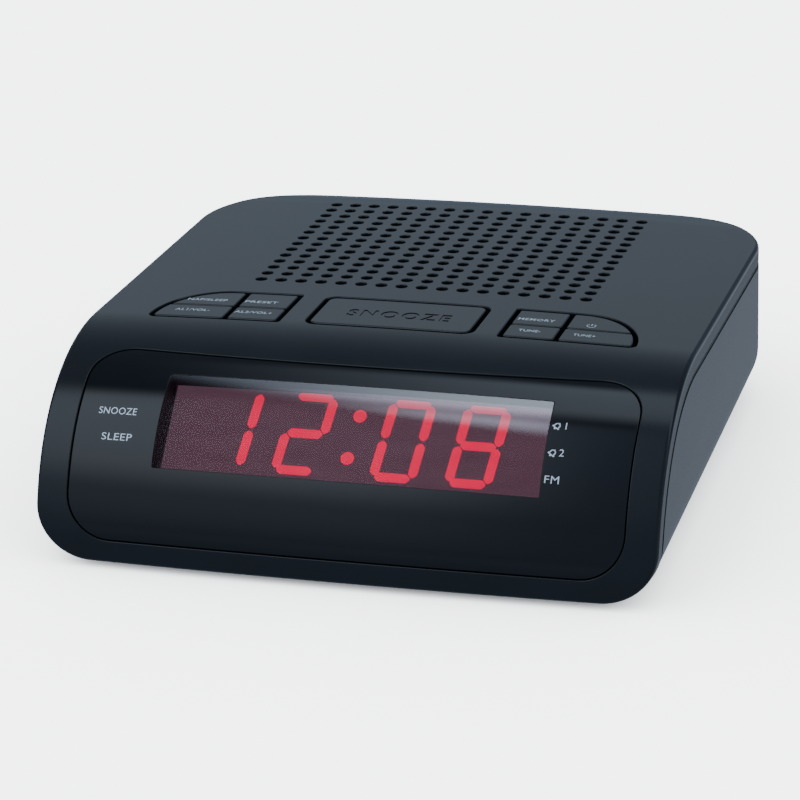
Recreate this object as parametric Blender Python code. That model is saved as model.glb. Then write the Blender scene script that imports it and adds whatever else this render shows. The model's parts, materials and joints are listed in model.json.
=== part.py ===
"""A mains clock radio with a red LED display.

The top cover is one moulding: a flat deck with the speaker grille and the keys, which rolls
over at the front into a tall curved face. The lower cabinet closes it from below. The deck
slopes down to the back, so the cover, the keys and the speaker are modelled in the deck's own
frame, which an empty holds; the cabinet and what stands on its floor are modelled in the world.
Lengths are in metres. X is across, Y runs from the front to the back and Z is up.
"""

from math import atan2, cos, pi, radians, sin

import bmesh
import bpy
import numpy
from mathutils import Matrix, Vector

mm = 0.001

# Housing
HALF_WIDTH = 68.4 * mm
BACK_EDGE = 73.2 * mm  # the deck's back edge
BACK_CORNER = 25.5 * mm
WALL = 2.2 * mm
RIM = 4.0 * mm  # depth of the cover's rim, all round
EDGE_ROUND = 1.0 * mm
GROOVE = 1.0 * mm  # the open line between cover and cabinet
GAP = 0.3 * mm  # between pieces that touch

# The deck, and the front face that rolls down from it as a quarter of a superellipse
DECK_SLOPE = radians(2.5)
DECK_HEIGHT = 41.7 * mm
ARC_START = -28.0 * mm
ARC_DEPTH = 44.2 * mm
ARC_HEIGHT = 43.4 * mm
ARC_POWER = 2.13
CROWN = 1.1 * mm  # how far the sides of the deck lie below its middle
FRONT_BOW = 1.4 * mm  # how far the ends of the face stand behind its middle
BACK_ROLL = 0.9 * mm  # how far the deck drops at its back edge
BACK_ROLL_START = 63.0 * mm
FRONT_CORNER = 12.4 * mm

# Front panel and display, as lengths down the face from the start of the arc
PANEL_HALF = 61.3 * mm
PANEL_TOP = 18.9 * mm
PANEL_BOTTOM = 64.5 * mm
PANEL_CORNER = 9.8 * mm
PANEL_TOP_ARCH = 2.3 * mm  # how much further up the face the ends of its top edge lie
PANEL_FLANGE = 2.0 * mm
PANEL_SINK = 0.2 * mm
WINDOW_HALF = 42.5 * mm
WINDOW_TOP = 24.7 * mm
WINDOW_BOTTOM = 47.5 * mm
WINDOW_CORNER = 1.0 * mm
DISPLAY_DEPTH = 8.2 * mm  # from the skin to the face of the LED module

# Grille
GRILLE_PITCH = 4.75 * mm
GRILLE_COLUMNS = 17
GRILLE_ROWS = 14
GRILLE_HOLE = 1.3 * mm  # radius
GRILLE_MIDDLE = (GRILLE_ROWS - 1) * GRILLE_PITCH / 2

# Keys. Their outlines run along the middle of the open gap round them.
KEY_GAP = 1.0 * mm
KEY_ROW_GAP = 0.6 * mm
KEY_FRONT = -29.5 * mm
KEY_BACK = -10.6 * mm
KEY_ROW_LINE = -20.8 * mm  # between the two rows of a group
KEY_COLUMN_LINE = 37.5 * mm  # between the two columns of a group
KEY_GROUP_INNER = 25.2 * mm
KEY_GROUP_CURVE = 40.1 * mm  # where the straight back edge turns into the curved end
KEY_GROUP_TIP = 54.7 * mm
KEY_GROUP_NICK = 0.8 * mm  # the short upright at the front of the curved end
SNOOZE_HALF = 18.65 * mm
SNOOZE_CORNER = 2.4 * mm
KEY_EDGE = 0.4 * mm
KEY_FLANGE = 1.0 * mm
KEY_STEM_LENGTH = 1.8 * mm
KEY_TRAVEL = 0.8 * mm
SWITCH_BODY = 3.0 * mm
SWITCH_PLUNGER = 0.9 * mm
BOARD = 1.6 * mm

# Cabinet
BASE_LEVEL = 2.35 * mm
CABINET_INSET = 0.1 * mm  # of its back wall from the cover's edge
BASE_ROUND = 10.4 * mm
LIP_WALL = 1.3 * mm  # of the upright lip that stands inside the cover's rim
LIP_FRONT = -60.0 * mm
FOOT_SINK = 0.8 * mm
FOOT_RADIUS = 6.0 * mm
FRONT_FEET = (44.0 * mm, -56.0 * mm)
REAR_FEET = (34.0 * mm, 53.0 * mm)
FRONT_POSTS = (53.5 * mm, -36.5 * mm)
REAR_POSTS = (50.0 * mm, 50.0 * mm)
POST_SPLIT = 20.0 * mm  # level at which cabinet posts meet cover posts
SCREW_SEAT = 17.0 * mm

# Battery bay, for two AAA cells side by side
BAY_HALF = 26.0 * mm
BAY_FRONT = -33.0 * mm
BAY_BACK = -9.0 * mm
BAY_CEILING = 18.0 * mm
BAY_LEDGE = 2.5 * mm
BAY_WALL = 1.8 * mm
DOOR_THICKNESS = 2.0 * mm

GLAND_REACH = 2.6 * mm  # how far the bushings stand out of the back wall

# Speaker
SPEAKER_RADIUS = 33.0 * mm
CONE_RADIUS = 27.5 * mm
MAGNET_RADIUS = 16.0 * mm

PLASTIC = (0.062, 0.073, 0.086, 1)
COLOURS = {  # colour, roughness, metallic
    "cover_plastic": (PLASTIC, 0.55, 0),
    "cabinet_plastic": ((0.10, 0.11, 0.118, 1), 0.6, 0),
    "key_plastic": ((0.085, 0.10, 0.115, 1), 0.5, 0),
    "gloss_black": ((0.012, 0.014, 0.018, 1), 0.12, 0),
    "window_tint": ((0.25, 0.03, 0.06, 1), 0.08, 0),
    "led_face": ((0.12, 0.03, 0.045, 1), 0.5, 0),
    "inner_plastic": ((0.02, 0.02, 0.022, 1), 0.6, 0),
    "circuit_board": ((0.03, 0.12, 0.05, 1), 0.5, 0),
    "chip_plastic": ((0.015, 0.015, 0.016, 1), 0.5, 0),
    "bare_steel": ((0.55, 0.55, 0.54, 1), 0.35, 1),
    "core_steel": ((0.25, 0.25, 0.26, 1), 0.5, 1),
    "winding_tape": ((0.65, 0.5, 0.1, 1), 0.5, 0),
    "cone_paper": ((0.03, 0.03, 0.03, 1), 0.9, 0),
    "magnet_ferrite": ((0.05, 0.05, 0.052, 1), 0.6, 0),
    "foam": ((0.04, 0.04, 0.04, 1), 0.95, 0),
    "rubber": ((0.02, 0.02, 0.02, 1), 0.85, 0),
    "cable_grey": ((0.45, 0.45, 0.46, 1), 0.5, 0),
    "capacitor_sleeve": ((0.02, 0.03, 0.12, 1), 0.4, 0),
}


# ---------------------------------------------------------------- scene helpers


def clear_scene():
    for obj in list(bpy.data.objects):
        bpy.data.objects.remove(obj, do_unlink=True)


def material(slot):
    found = bpy.data.materials.get(slot)
    if found:
        return found
    colour, roughness, metallic = COLOURS[slot]
    made = bpy.data.materials.new(slot)
    made.use_nodes = True
    shader = made.node_tree.nodes["Principled BSDF"]
    shader.inputs["Base Color"].default_value = colour
    shader.inputs["Roughness"].default_value = roughness
    shader.inputs["Metallic"].default_value = metallic
    made.diffuse_color = colour
    return made


def frame(name, place):
    """An empty that holds a frame of its own, at the matrix place."""
    empty = bpy.data.objects.new(name, None)
    empty.empty_display_size = 0.02
    empty.matrix_world = place
    bpy.context.collection.objects.link(empty)
    return empty


def add_object(name, bm, slot, parent=None, at=(0, 0, 0)):
    bmesh.ops.recalc_face_normals(bm, faces=bm.faces[:])
    mesh = bpy.data.meshes.new(name)
    bm.to_mesh(mesh)
    bm.free()
    mesh.shade_smooth()
    mesh.set_sharp_from_angle(angle=radians(30))
    obj = bpy.data.objects.new(name, mesh)
    bpy.context.collection.objects.link(obj)
    obj.parent = parent
    obj.location = at
    if slot:
        mesh.materials.append(material(slot))
    return obj


def as_helper(obj):
    obj.hide_render = True
    obj.display_type = "WIRE"
    return obj


def combine(target, other, operation):
    modifier = target.modifiers.new(other.name, "BOOLEAN")
    modifier.operation = operation
    modifier.solver = "EXACT"
    modifier.object = as_helper(other)


def cut(target, *cutters):
    for cutter in cutters:
        combine(target, cutter, "DIFFERENCE")


def join(target, *additions):
    for addition in additions:
        combine(target, addition, "UNION")


# ---------------------------------------------------------------- mesh helpers


def loft(name, rings, slot=None, parent=None, at=(0, 0, 0), hollow=False):
    """A solid through rings of equal point counts. A hollow one runs back into its first ring."""
    bm = bmesh.new()
    loops = [[bm.verts.new(point) for point in ring] for ring in rings]
    count = len(loops[0])
    pairs = list(zip(loops, loops[1:]))
    if hollow:
        pairs.append((loops[-1], loops[0]))
    else:
        bm.faces.new(loops[0])
        bm.faces.new(loops[-1])
    for lower, upper in pairs:
        for i in range(count):
            j = (i + 1) % count
            bm.faces.new((lower[i], lower[j], upper[j], upper[i]))
    return add_object(name, bm, slot, parent, at)


def level(points, z):
    """The flat outline points at height z."""
    return [(x, y, z) for x, y in points]


def circle(radius, count, middle=(0, 0)):
    turn = 2 * pi / count
    return [
        (middle[0] + radius * cos(i * turn), middle[1] + radius * sin(i * turn))
        for i in range(count)
    ]


def rectangle(x0, x1, y0, y1):
    return [(x0, y0), (x1, y0), (x1, y1), (x0, y1)]


def turned(name, profile, count, slot=None, parent=None, at=(0, 0, 0), hollow=False):
    """A solid turned about Z from (radius, height) points; a hollow profile closes on itself."""
    rings = [level(circle(radius, count), z) for radius, z in profile]
    return loft(name, rings, slot, parent, at, hollow)


def block(name, x0, x1, y0, y1, z0, z1, slot=None, parent=None):
    outline = rectangle(x0, x1, y0, y1)
    return loft(name, [level(outline, z0), level(outline, z1)], slot, parent)


def offset_outline(points, distance_of):
    """A convex anticlockwise outline with each edge moved out by distance_of(its two ends)."""
    count = len(points)
    moved = []
    for i in range(count):
        a, b = Vector(points[i]), Vector(points[(i + 1) % count])
        along = (b - a).normalized()
        outward = Vector((along.y, -along.x))
        moved.append((a + outward * distance_of(a, b), along))
    corners = []
    for i in range(count):
        (p, u), (q, v) = moved[i - 1], moved[i]
        cross = u.x * v.y - u.y * v.x
        if abs(cross) < 1e-4:
            corners.append(tuple(q))
            continue
        step = ((q.x - p.x) * v.y - (q.y - p.y) * v.x) / cross
        corners.append(tuple(p + u * step))
    return corners


def clip(points, axis, limit, keep_above):
    """The part of an outline on one side of a line across axis 0 (x) or 1 (y)."""
    side = 1 if keep_above else -1
    kept = []
    for i, a in enumerate(points):
        b = points[(i + 1) % len(points)]
        a_in = side * (a[axis] - limit) >= 0
        b_in = side * (b[axis] - limit) >= 0
        if a_in:
            kept.append(a)
        if a_in != b_in:
            share = (limit - a[axis]) / (b[axis] - a[axis])
            kept.append(tuple(a[k] + share * (b[k] - a[k]) for k in (0, 1)))
    return kept


# ---------------------------------------------------------------- the skin of the cover

ARC_ANGLES = numpy.linspace(0, pi / 2, 1201)


def arc_point(angle):
    """Depth forwards and drop of the arc, and its outward normal, as (y, z) in the deck frame."""
    ahead = sin(angle) ** (2 / ARC_POWER)
    up = max(cos(angle), 0) ** (2 / ARC_POWER)
    normal = Vector((-(ahead ** (ARC_POWER - 1)) / ARC_DEPTH, up ** (ARC_POWER - 1) / ARC_HEIGHT))
    return Vector((ARC_START - ARC_DEPTH * ahead, -ARC_HEIGHT * (1 - up))), normal.normalized()


ARC_POINTS = numpy.array([arc_point(angle)[0] for angle in ARC_ANGLES])
ARC_LENGTHS = numpy.append(0, numpy.cumsum(numpy.hypot(*numpy.diff(ARC_POINTS, axis=0).T)))
FACE_LENGTH = float(ARC_LENGTHS[-1])


def crown(x):
    """How far the deck lies below its middle line."""
    return CROWN * (x / HALF_WIDTH) ** 2


def skin(x, along, depth=0.0):
    """A point in the deck frame, depth under the cover's surface.

    along is the distance forwards from the start of the arc, over the deck where it is
    negative and down the face where it is positive.
    """
    if along <= 0:
        y = ARC_START - along
        roll = BACK_ROLL * (max(y - BACK_ROLL_START, 0) / (BACK_EDGE - BACK_ROLL_START)) ** 2
        return Vector((x, y, -depth - crown(x) - roll))
    angle = float(numpy.interp(along, ARC_LENGTHS, ARC_ANGLES))
    point, normal = arc_point(angle)
    bow = CROWN + (FRONT_BOW - CROWN) * sin(angle) ** 2
    return Vector((x, *(point - normal * (depth + bow * (x / HALF_WIDTH) ** 2))))


# Columns of a patch at fixed places, halfway between columns of the grille's holes.
INNER_COLUMNS = [GRILLE_PITCH * k for k in (1.5, 4.5, 7.5)]


class Outline:
    """A round-cornered patch of the skin: its rows run across, from the back to the front."""

    def __init__(self, half, back, front, corners, turns, step, outer_columns, arches=(0, 0)):
        self.half = half
        self.back = back
        self.front = front
        self.back_corner, self.front_corner = corners
        self.arches = arches
        right = [("at", x) for x in INNER_COLUMNS]
        right += [("share", k / outer_columns) for k in range(1, outer_columns + 1)]
        self.columns = [(kind, value, -1) for kind, value in reversed(right)]
        self.columns += [(kind, value, 1) for kind, value in right]
        quarter = [radians(90 * k / turns) for k in range(turns + 1)]
        start = max(back + self.back_corner, 0)
        run = front - self.front_corner - start
        count = max(round(run / step), 1)
        sides = [start + run * k / count for k in range(count)]
        self.rows = [("back", angle) for angle in reversed(quarter)]
        self.rows += [("side", along) for along in sides if along > back + self.back_corner]
        self.rows += [("front", angle) for angle in quarter]

    def row(self, index, inset):
        """Half the width of a row, and how far along it lies, with the edge moved in by inset."""
        kind, value = self.rows[index]
        if kind == "side":
            return self.half - inset, value
        corner = self.back_corner if kind == "back" else self.front_corner
        half = self.half - corner + (corner - inset) * cos(value)
        reach = corner - (corner - inset) * sin(value)
        return half, (self.back + reach) if kind == "back" else (self.front - reach)

    def point(self, row, column, inset, depth):
        half, along = self.row(row, inset)
        kind, value, side = self.columns[column]
        fixed = INNER_COLUMNS[-1]
        x = side * (value if kind == "at" else fixed + (half - fixed) * value)
        share = (along - self.back) / (self.front - self.back)
        arch = self.arches[0] + (self.arches[1] - self.arches[0]) * share
        return skin(x, along - arch * (x / self.half) ** 2, depth)

    def border(self):
        """The rows and columns of the edge, in order round it."""
        last_row, last_column = len(self.rows) - 1, len(self.columns) - 1
        places = [(0, k) for k in range(last_column)]
        places += [(j, last_column) for j in range(last_row)]
        places += [(last_row, k) for k in range(last_column, 0, -1)]
        places += [(j, 0) for j in range(last_row, 0, -1)]
        return places


def slab(name, outline, rings, slot=None, parent=None):
    """A curved plate: rings are (inset, depth) pairs from its outer face round to its inner one."""
    bm = bmesh.new()
    border = outline.border()
    loops = []
    for index, (inset, depth) in enumerate(rings):
        if index in (0, len(rings) - 1):
            grid = [
                [bm.verts.new(outline.point(j, k, inset, depth)) for k in range(len(outline.columns))]
                for j in range(len(outline.rows))
            ]
            for lower, upper in zip(grid, grid[1:]):
                for k in range(len(lower) - 1):
                    bm.faces.new((lower[k], lower[k + 1], upper[k + 1], upper[k]))
            loops.append([grid[j][k] for j, k in border])
        else:
            loops.append([bm.verts.new(outline.point(j, k, inset, depth)) for j, k in border])
    for outer, inner in zip(loops, loops[1:]):
        for i in range(len(border)):
            j = (i + 1) % len(border)
            bm.faces.new((outer[i], outer[j], inner[j], inner[i]))
    bmesh.ops.dissolve_limit(bm, angle_limit=radians(0.05), verts=bm.verts[:], edges=bm.edges[:])
    return add_object(name, bm, slot, parent)


def rounded(edge, inset=0.0, depth=0.0, steps=3):
    """Rings of a rounded edge, from the outer face round to the side."""
    angles = [radians(90 * k / steps) for k in range(steps + 1)]
    return [(inset + edge * (1 - sin(a)), depth + edge * (1 - cos(a))) for a in angles]


# ---------------------------------------------------------------- keys


def snooze_outline():
    half, corner, turns = SNOOZE_HALF, SNOOZE_CORNER, 3
    middles = [(half - corner, KEY_BACK - corner), (corner - half, KEY_BACK - corner),
               (corner - half, KEY_FRONT + corner), (half - corner, KEY_FRONT + corner)]
    points = []
    for quarter, (x, y) in enumerate(middles):
        for k in range(turns + 1):
            angle = pi / 2 * (quarter + k / turns)
            points.append((x + corner * cos(angle), y + corner * sin(angle)))
    return points


def group_outline(side):
    """Four keys together: straight towards the middle, a quarter ellipse at the outer end."""
    points = [(KEY_GROUP_INNER, KEY_FRONT), (KEY_GROUP_TIP - KEY_GROUP_NICK, KEY_FRONT)]
    reach = KEY_GROUP_TIP - KEY_GROUP_CURVE
    rise = KEY_BACK - KEY_FRONT - KEY_GROUP_NICK
    turns = 7
    for k in range(turns + 1):
        angle = pi / 2 * k / turns
        y = KEY_FRONT + KEY_GROUP_NICK + rise * sin(angle)
        points.append((KEY_GROUP_CURVE + reach * cos(angle), y))
    points.append((KEY_GROUP_INNER, KEY_BACK))
    return points if side > 0 else [(-x, y) for x, y in reversed(points)]


def opening_of(outline):
    return offset_outline(outline, lambda a, b: KEY_GAP / 2)


def key_layout():
    """Each key's name and cap outline, in the deck frame."""

    def within(a, b):
        return -KEY_GAP / 2

    layout = [("snooze", offset_outline(snooze_outline(), within))]
    names = {  # by (outer column, front row)
        -1: {(0, 1): "volume_up", (1, 1): "volume_down", (0, 0): "preset", (1, 0): "sleep"},
        1: {(0, 1): "tuning_down", (1, 1): "tuning_up", (0, 0): "memory", (1, 0): "power"},
    }
    for side in (-1, 1):
        whole = offset_outline(group_outline(side), within)
        for (outer, in_front), name in names[side].items():
            beyond = (outer == 1) == (side > 0)
            half_column, half_row = KEY_GAP / 2, KEY_ROW_GAP / 2
            line = side * KEY_COLUMN_LINE + (half_column if beyond else -half_column)
            row_line = KEY_ROW_LINE + (-half_row if in_front else half_row)
            layout.append((name, clip(clip(whole, 0, line, beyond), 1, row_line, not in_front)))
    return layout


def on_divider(a, b):
    """Whether an edge of a cap faces another key of its group."""
    near = 1 * mm
    across = abs(a.x - b.x) < 1e-6 and abs(abs(a.x) - KEY_COLUMN_LINE) < near
    along = abs(a.y - b.y) < 1e-6 and abs(a.y - KEY_ROW_LINE) < near
    return across or along


def make_key(name, cap, deck):
    """A cap level with the deck, a flange that stops it under the deck, and a stem."""
    middle = tuple((min(p[k] for p in cap) + max(p[k] for p in cap)) / 2 for k in (0, 1))
    cap = [(x - middle[0], y - middle[1]) for x, y in cap]
    here = Vector(middle)

    def flange_reach(a, b):
        return -0.1 * mm if on_divider(a + here, b + here) else KEY_GAP + KEY_FLANGE

    def crowned(points, z):
        return [(x, y, z - crown(x + middle[0])) for x, y in points]

    top = offset_outline(cap, lambda a, b: -KEY_EDGE)
    shoulder = offset_outline(cap, lambda a, b: -KEY_EDGE * 0.3)
    flange = offset_outline(cap, flange_reach)
    stem = [(x * 0.28, y * 0.28) for x, y in cap]
    under = -WALL - GAP
    rings = [
        crowned(top, 0),
        crowned(shoulder, -KEY_EDGE * 0.3),
        crowned(cap, -KEY_EDGE),
        crowned(cap, under),
        crowned(flange, under),
        crowned(flange, under - 1.0 * mm),
        crowned(stem, under - 1.0 * mm),
        level(stem, STEM_END),
    ]
    loft(name + "_key", rings, "key_plastic", deck, (*middle, 0))
    return middle


STEM_END = -WALL - GAP - 1.0 * mm - KEY_STEM_LENGTH  # level, under the crowned keys too
SWITCH_TOP = STEM_END - KEY_TRAVEL - GAP
KEY_BOARD_TOP = SWITCH_TOP - SWITCH_PLUNGER - SWITCH_BODY - GAP


def make_switch(name, middle, deck):
    half, nick = 3.0 * mm, 0.6 * mm
    body = [
        (half, -half + nick), (half, half - nick), (half - nick, half), (-half + nick, half),
        (-half, half - nick), (-half, -half + nick), (-half + nick, -half), (half - nick, -half),
    ]
    plunger = [(x * 0.55, y * 0.55) for x, y in body]
    rings = [
        level(plunger, SWITCH_TOP),
        level(plunger, SWITCH_TOP - SWITCH_PLUNGER),
        level(body, SWITCH_TOP - SWITCH_PLUNGER),
        level(body, SWITCH_TOP - SWITCH_PLUNGER - SWITCH_BODY),
    ]
    loft(name + "_switch", rings, "inner_plastic", deck, (*middle, 0))


def make_keys(deck):
    for name, cap in key_layout():
        middle = make_key(name, cap, deck)
        make_switch(name, middle, deck)
    block(
        "key_board", -56 * mm, 56 * mm, -30 * mm, -8 * mm,
        KEY_BOARD_TOP - BOARD, KEY_BOARD_TOP, "circuit_board", deck,
    )


# ---------------------------------------------------------------- cover and panel


def corners_of(place):
    """A place mirrored to the left and the right."""
    return [(-place[0], place[1]), place]


def make_cover(deck):
    outline = Outline(
        HALF_WIDTH, ARC_START - BACK_EDGE, FACE_LENGTH, (BACK_CORNER, FRONT_CORNER),
        turns=8, step=3.8 * mm, outer_columns=2,
    )
    rings = rounded(EDGE_ROUND) + [(0, RIM), (WALL, RIM), (WALL, WALL)]
    cover = slab("top_cover", outline, rings, "cover_plastic", deck)
    for number, (x, y) in enumerate(corners_of(FRONT_POSTS) + corners_of(REAR_POSTS)):
        # A post reaches from the split up into the deck's thickness.
        deck_under = DECK_HEIGHT - y * sin(DECK_SLOPE) - (2.4 if y < 0 else 1.2) * mm
        join(cover, turned(
            f"post_{number}", [(4 * mm, POST_SPLIT + GAP), (4 * mm, deck_under)], 12, at=(x, y, 0)))
        cut(cover, turned(
            f"pilot_{number}", [(1.7 * mm, POST_SPLIT - 1 * mm), (1.7 * mm, 31 * mm)], 10, at=(x, y, 0)))
    for side in (-1, 1):
        top = -WALL * 0.6
        join(cover, turned(
            f"board_post_{side}", [(1.5 * mm, KEY_BOARD_TOP + GAP), (1.5 * mm, top)], 10,
            parent=deck, at=(side * 21.7 * mm, -19 * mm, 0)))
        group = opening_of(group_outline(side))
        rings = [level(group, -6 * mm), level(group, 4 * mm)]
        cut(cover, loft(f"group_opening_{side}", rings, parent=deck))
    snooze = opening_of(snooze_outline())
    cut(cover, loft("snooze_opening", [level(snooze, -6 * mm), level(snooze, 4 * mm)], parent=deck))
    cut(cover, slab("panel_opening", panel_outline(), [(0, -3 * mm), (0, WALL + 3 * mm)], parent=deck))
    cut(cover, grille_cutter(deck))
    return cover


def grille_cutter(deck):
    """One straight six-sided pin for each hole of the grille."""
    bm = bmesh.new()
    for column in range(GRILLE_COLUMNS):
        for row in range(GRILLE_ROWS):
            x = (column - (GRILLE_COLUMNS - 1) / 2) * GRILLE_PITCH
            rings = [
                [bm.verts.new((*p, z)) for p in circle(GRILLE_HOLE, 6, (x, row * GRILLE_PITCH))]
                for z in (-WALL - 1 * mm, 1 * mm)
            ]
            bm.faces.new(rings[0])
            bm.faces.new(rings[1])
            for i in range(6):
                j = (i + 1) % 6
                bm.faces.new((rings[0][i], rings[0][j], rings[1][j], rings[1][i]))
    return add_object("grille_pins", bm, None, deck)


def panel_outline():
    return Outline(
        PANEL_HALF, PANEL_TOP, PANEL_BOTTOM, (PANEL_CORNER, PANEL_CORNER),
        turns=5, step=3.8 * mm, outer_columns=2, arches=(PANEL_TOP_ARCH, 0),
    )


def window_outline():
    return Outline(
        WINDOW_HALF, WINDOW_TOP, WINDOW_BOTTOM, (WINDOW_CORNER, WINDOW_CORNER),
        turns=2, step=3.8 * mm, outer_columns=1,
    )


PANEL_BACK = WALL + GAP + 1.2 * mm


def make_panel(deck):
    clearance = 0.4 * mm
    rings = rounded(0.5 * mm, clearance, PANEL_SINK, steps=2)
    rings += [(clearance, WALL + GAP), (-PANEL_FLANGE, WALL + GAP), (-PANEL_FLANGE, PANEL_BACK)]
    panel = slab("front_panel", panel_outline(), rings, "gloss_black", deck)
    cut(panel, slab("window_opening", window_outline(), [(0, -3 * mm), (0, 8 * mm)], parent=deck))
    slab("display_window", window_outline(), [(GAP, PANEL_SINK), (GAP, PANEL_BACK)], "window_tint", deck)


def make_display(deck):
    """The pieces behind the window, in a flat frame whose Z points out through it."""
    top, bottom = skin(0, WINDOW_TOP), skin(0, WINDOW_BOTTOM)
    up = (top - bottom).normalized()
    middle = skin(0, (WINDOW_TOP + WINDOW_BOTTOM) / 2)
    tilt = atan2(up.z, up.y)
    place = deck.matrix_world @ Matrix.Translation(middle) @ Matrix.Rotation(tilt, 4, "X")
    face = frame("display_frame", place)
    # The middle of the window stands out past its top and bottom edges and its two ends.
    bulge = (middle - top).cross(up).length + FRONT_BOW * (WINDOW_HALF / HALF_WIDTH) ** 2
    shroud_front = -(PANEL_BACK + bulge + 0.9 * mm)
    inner = rectangle(-WINDOW_HALF, WINDOW_HALF, -11.4 * mm, 11.4 * mm)
    outer = rectangle(-WINDOW_HALF - 2 * mm, WINDOW_HALF + 2 * mm, -12.8 * mm, 12.8 * mm)
    shroud_back = -DISPLAY_DEPTH + GAP
    loft("display_shroud", [
        level(outer, shroud_front), level(outer, shroud_back),
        level(inner, shroud_back), level(inner, shroud_front),
    ], "inner_plastic", face, hollow=True)
    module_back = -DISPLAY_DEPTH - 6 * mm
    block("led_module", -44 * mm, 44 * mm, -12.4 * mm, 12.4 * mm, module_back, -DISPLAY_DEPTH,
          "led_face", face)
    board_front = module_back - GAP
    block("display_board", -47 * mm, 47 * mm, -14 * mm, 14 * mm, board_front - BOARD, board_front,
          "circuit_board", face)


# ---------------------------------------------------------------- cabinet


def tub(name, inset, front=-80 * mm):
    """The cabinet's solid outside, or with an inset the hollow in it, square at the front."""
    rings = []
    for k in range(6):
        angle = radians(18 * k)
        draw = inset + max(BASE_ROUND - inset, 0) * (1 - sin(angle))
        lift = inset + max(BASE_ROUND - inset, 0) * (1 - cos(angle))
        rings.append(level(tub_outline(draw, front), BASE_LEVEL + lift))
    rings.append(level(tub_outline(inset, front), DECK_HEIGHT + 10 * mm))
    return loft(name, rings)


def tub_outline(draw, front):
    half = HALF_WIDTH - draw
    back = BACK_EDGE - CABINET_INSET - draw
    corner = BACK_CORNER - draw
    turns = 8
    points = [(-half, front), (half, front)]
    for k in range(turns + 1):
        angle = radians(90 * k / turns)
        points.append((half - corner + corner * cos(angle), back - corner + corner * sin(angle)))
    return points + [(-x, y) for x, y in reversed(points[2:])]


def beneath(name, depth, deck):
    """Everything below the surface that lies depth under the cover's skin."""
    alongs = [ARC_START - BACK_EDGE - 12 * mm] + [FACE_LENGTH * k / 18 for k in range(19)]
    rings = []
    for k in range(9):
        x = (HALF_WIDTH + 6 * mm) * (k / 4 - 1)
        ring = [skin(x, along, depth) for along in alongs]
        ring.append(Vector((x, ring[-1].y, -70 * mm)))
        ring.append(Vector((x, ring[0].y, -70 * mm)))
        rings.append(ring)
    return loft(name, rings, parent=deck)


def make_cabinet(deck):
    parting = RIM + GROOVE
    cabinet = tub("bottom_cabinet", 0)
    cabinet.data.materials.append(material("cabinet_plastic"))
    combine(cabinet, beneath("below_parting", parting, deck), "INTERSECT")
    lip = tub("lip", WALL + GAP, LIP_FRONT)
    combine(lip, beneath("below_lip", WALL + 0.4 * mm, deck), "INTERSECT")
    join(cabinet, lip)
    cut(cabinet, tub("hollow", WALL + GAP + LIP_WALL))
    relief = tub("relief", WALL)
    combine(relief, beneath("below_relief", parting + 3 * mm, deck), "INTERSECT")
    cut(cabinet, relief)
    floor = BASE_LEVEL + WALL
    for number, (x, y) in enumerate(corners_of(FRONT_POSTS) + corners_of(REAR_POSTS)):
        join(cabinet, turned(
            f"cabinet_post_{number}", [(4.6 * mm, floor - 1 * mm), (4.6 * mm, POST_SPLIT)],
            12, at=(x, y, 0)))
        cut(cabinet, turned(
            f"screw_hole_{number}",
            [(3.3 * mm, -1 * mm), (3.3 * mm, SCREW_SEAT), (1.7 * mm, SCREW_SEAT), (1.7 * mm, 22 * mm)],
            12, at=(x, y, 0)))
        turned(
            ("case_screw_front_left", "case_screw_front_right",
             "case_screw_rear_left", "case_screw_rear_right")[number],
            [(2.2 * mm, SCREW_SEAT - 2.3 * mm), (2.8 * mm, SCREW_SEAT - 1.6 * mm),
             (2.8 * mm, SCREW_SEAT - GAP), (1.4 * mm, SCREW_SEAT - GAP), (1.4 * mm, 28 * mm),
             (0.4 * mm, 29.5 * mm)], 10, "bare_steel", at=(x, y, 0))
    for number, (x, y) in enumerate(corners_of(FRONT_FEET) + corners_of(REAR_FEET)):
        pocket_top = BASE_LEVEL + FOOT_SINK
        pocket = FOOT_RADIUS + GAP
        cut(cabinet, turned(
            f"foot_pocket_{number}", [(pocket, 0), (pocket, pocket_top)], 20, at=(x, y, 0)))
        turned(
            ("foot_front_left", "foot_front_right", "foot_rear_left", "foot_rear_right")[number],
            [(FOOT_RADIUS - 0.4 * mm, 0), (FOOT_RADIUS, 0.4 * mm), (FOOT_RADIUS, pocket_top - GAP)],
            20, "rubber", at=(x, y, 0))
    for number, (x, y) in enumerate([(-25, 6), (40, 6), (-25, 61), (40, 61)]):
        join(cabinet, turned(
            f"board_rest_{number}", [(1.8 * mm, floor - 1 * mm), (1.8 * mm, 7.7 * mm)], 8,
            at=(x * mm, y * mm, 0)))
    make_battery_bay(cabinet)
    make_glands(cabinet)


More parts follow.
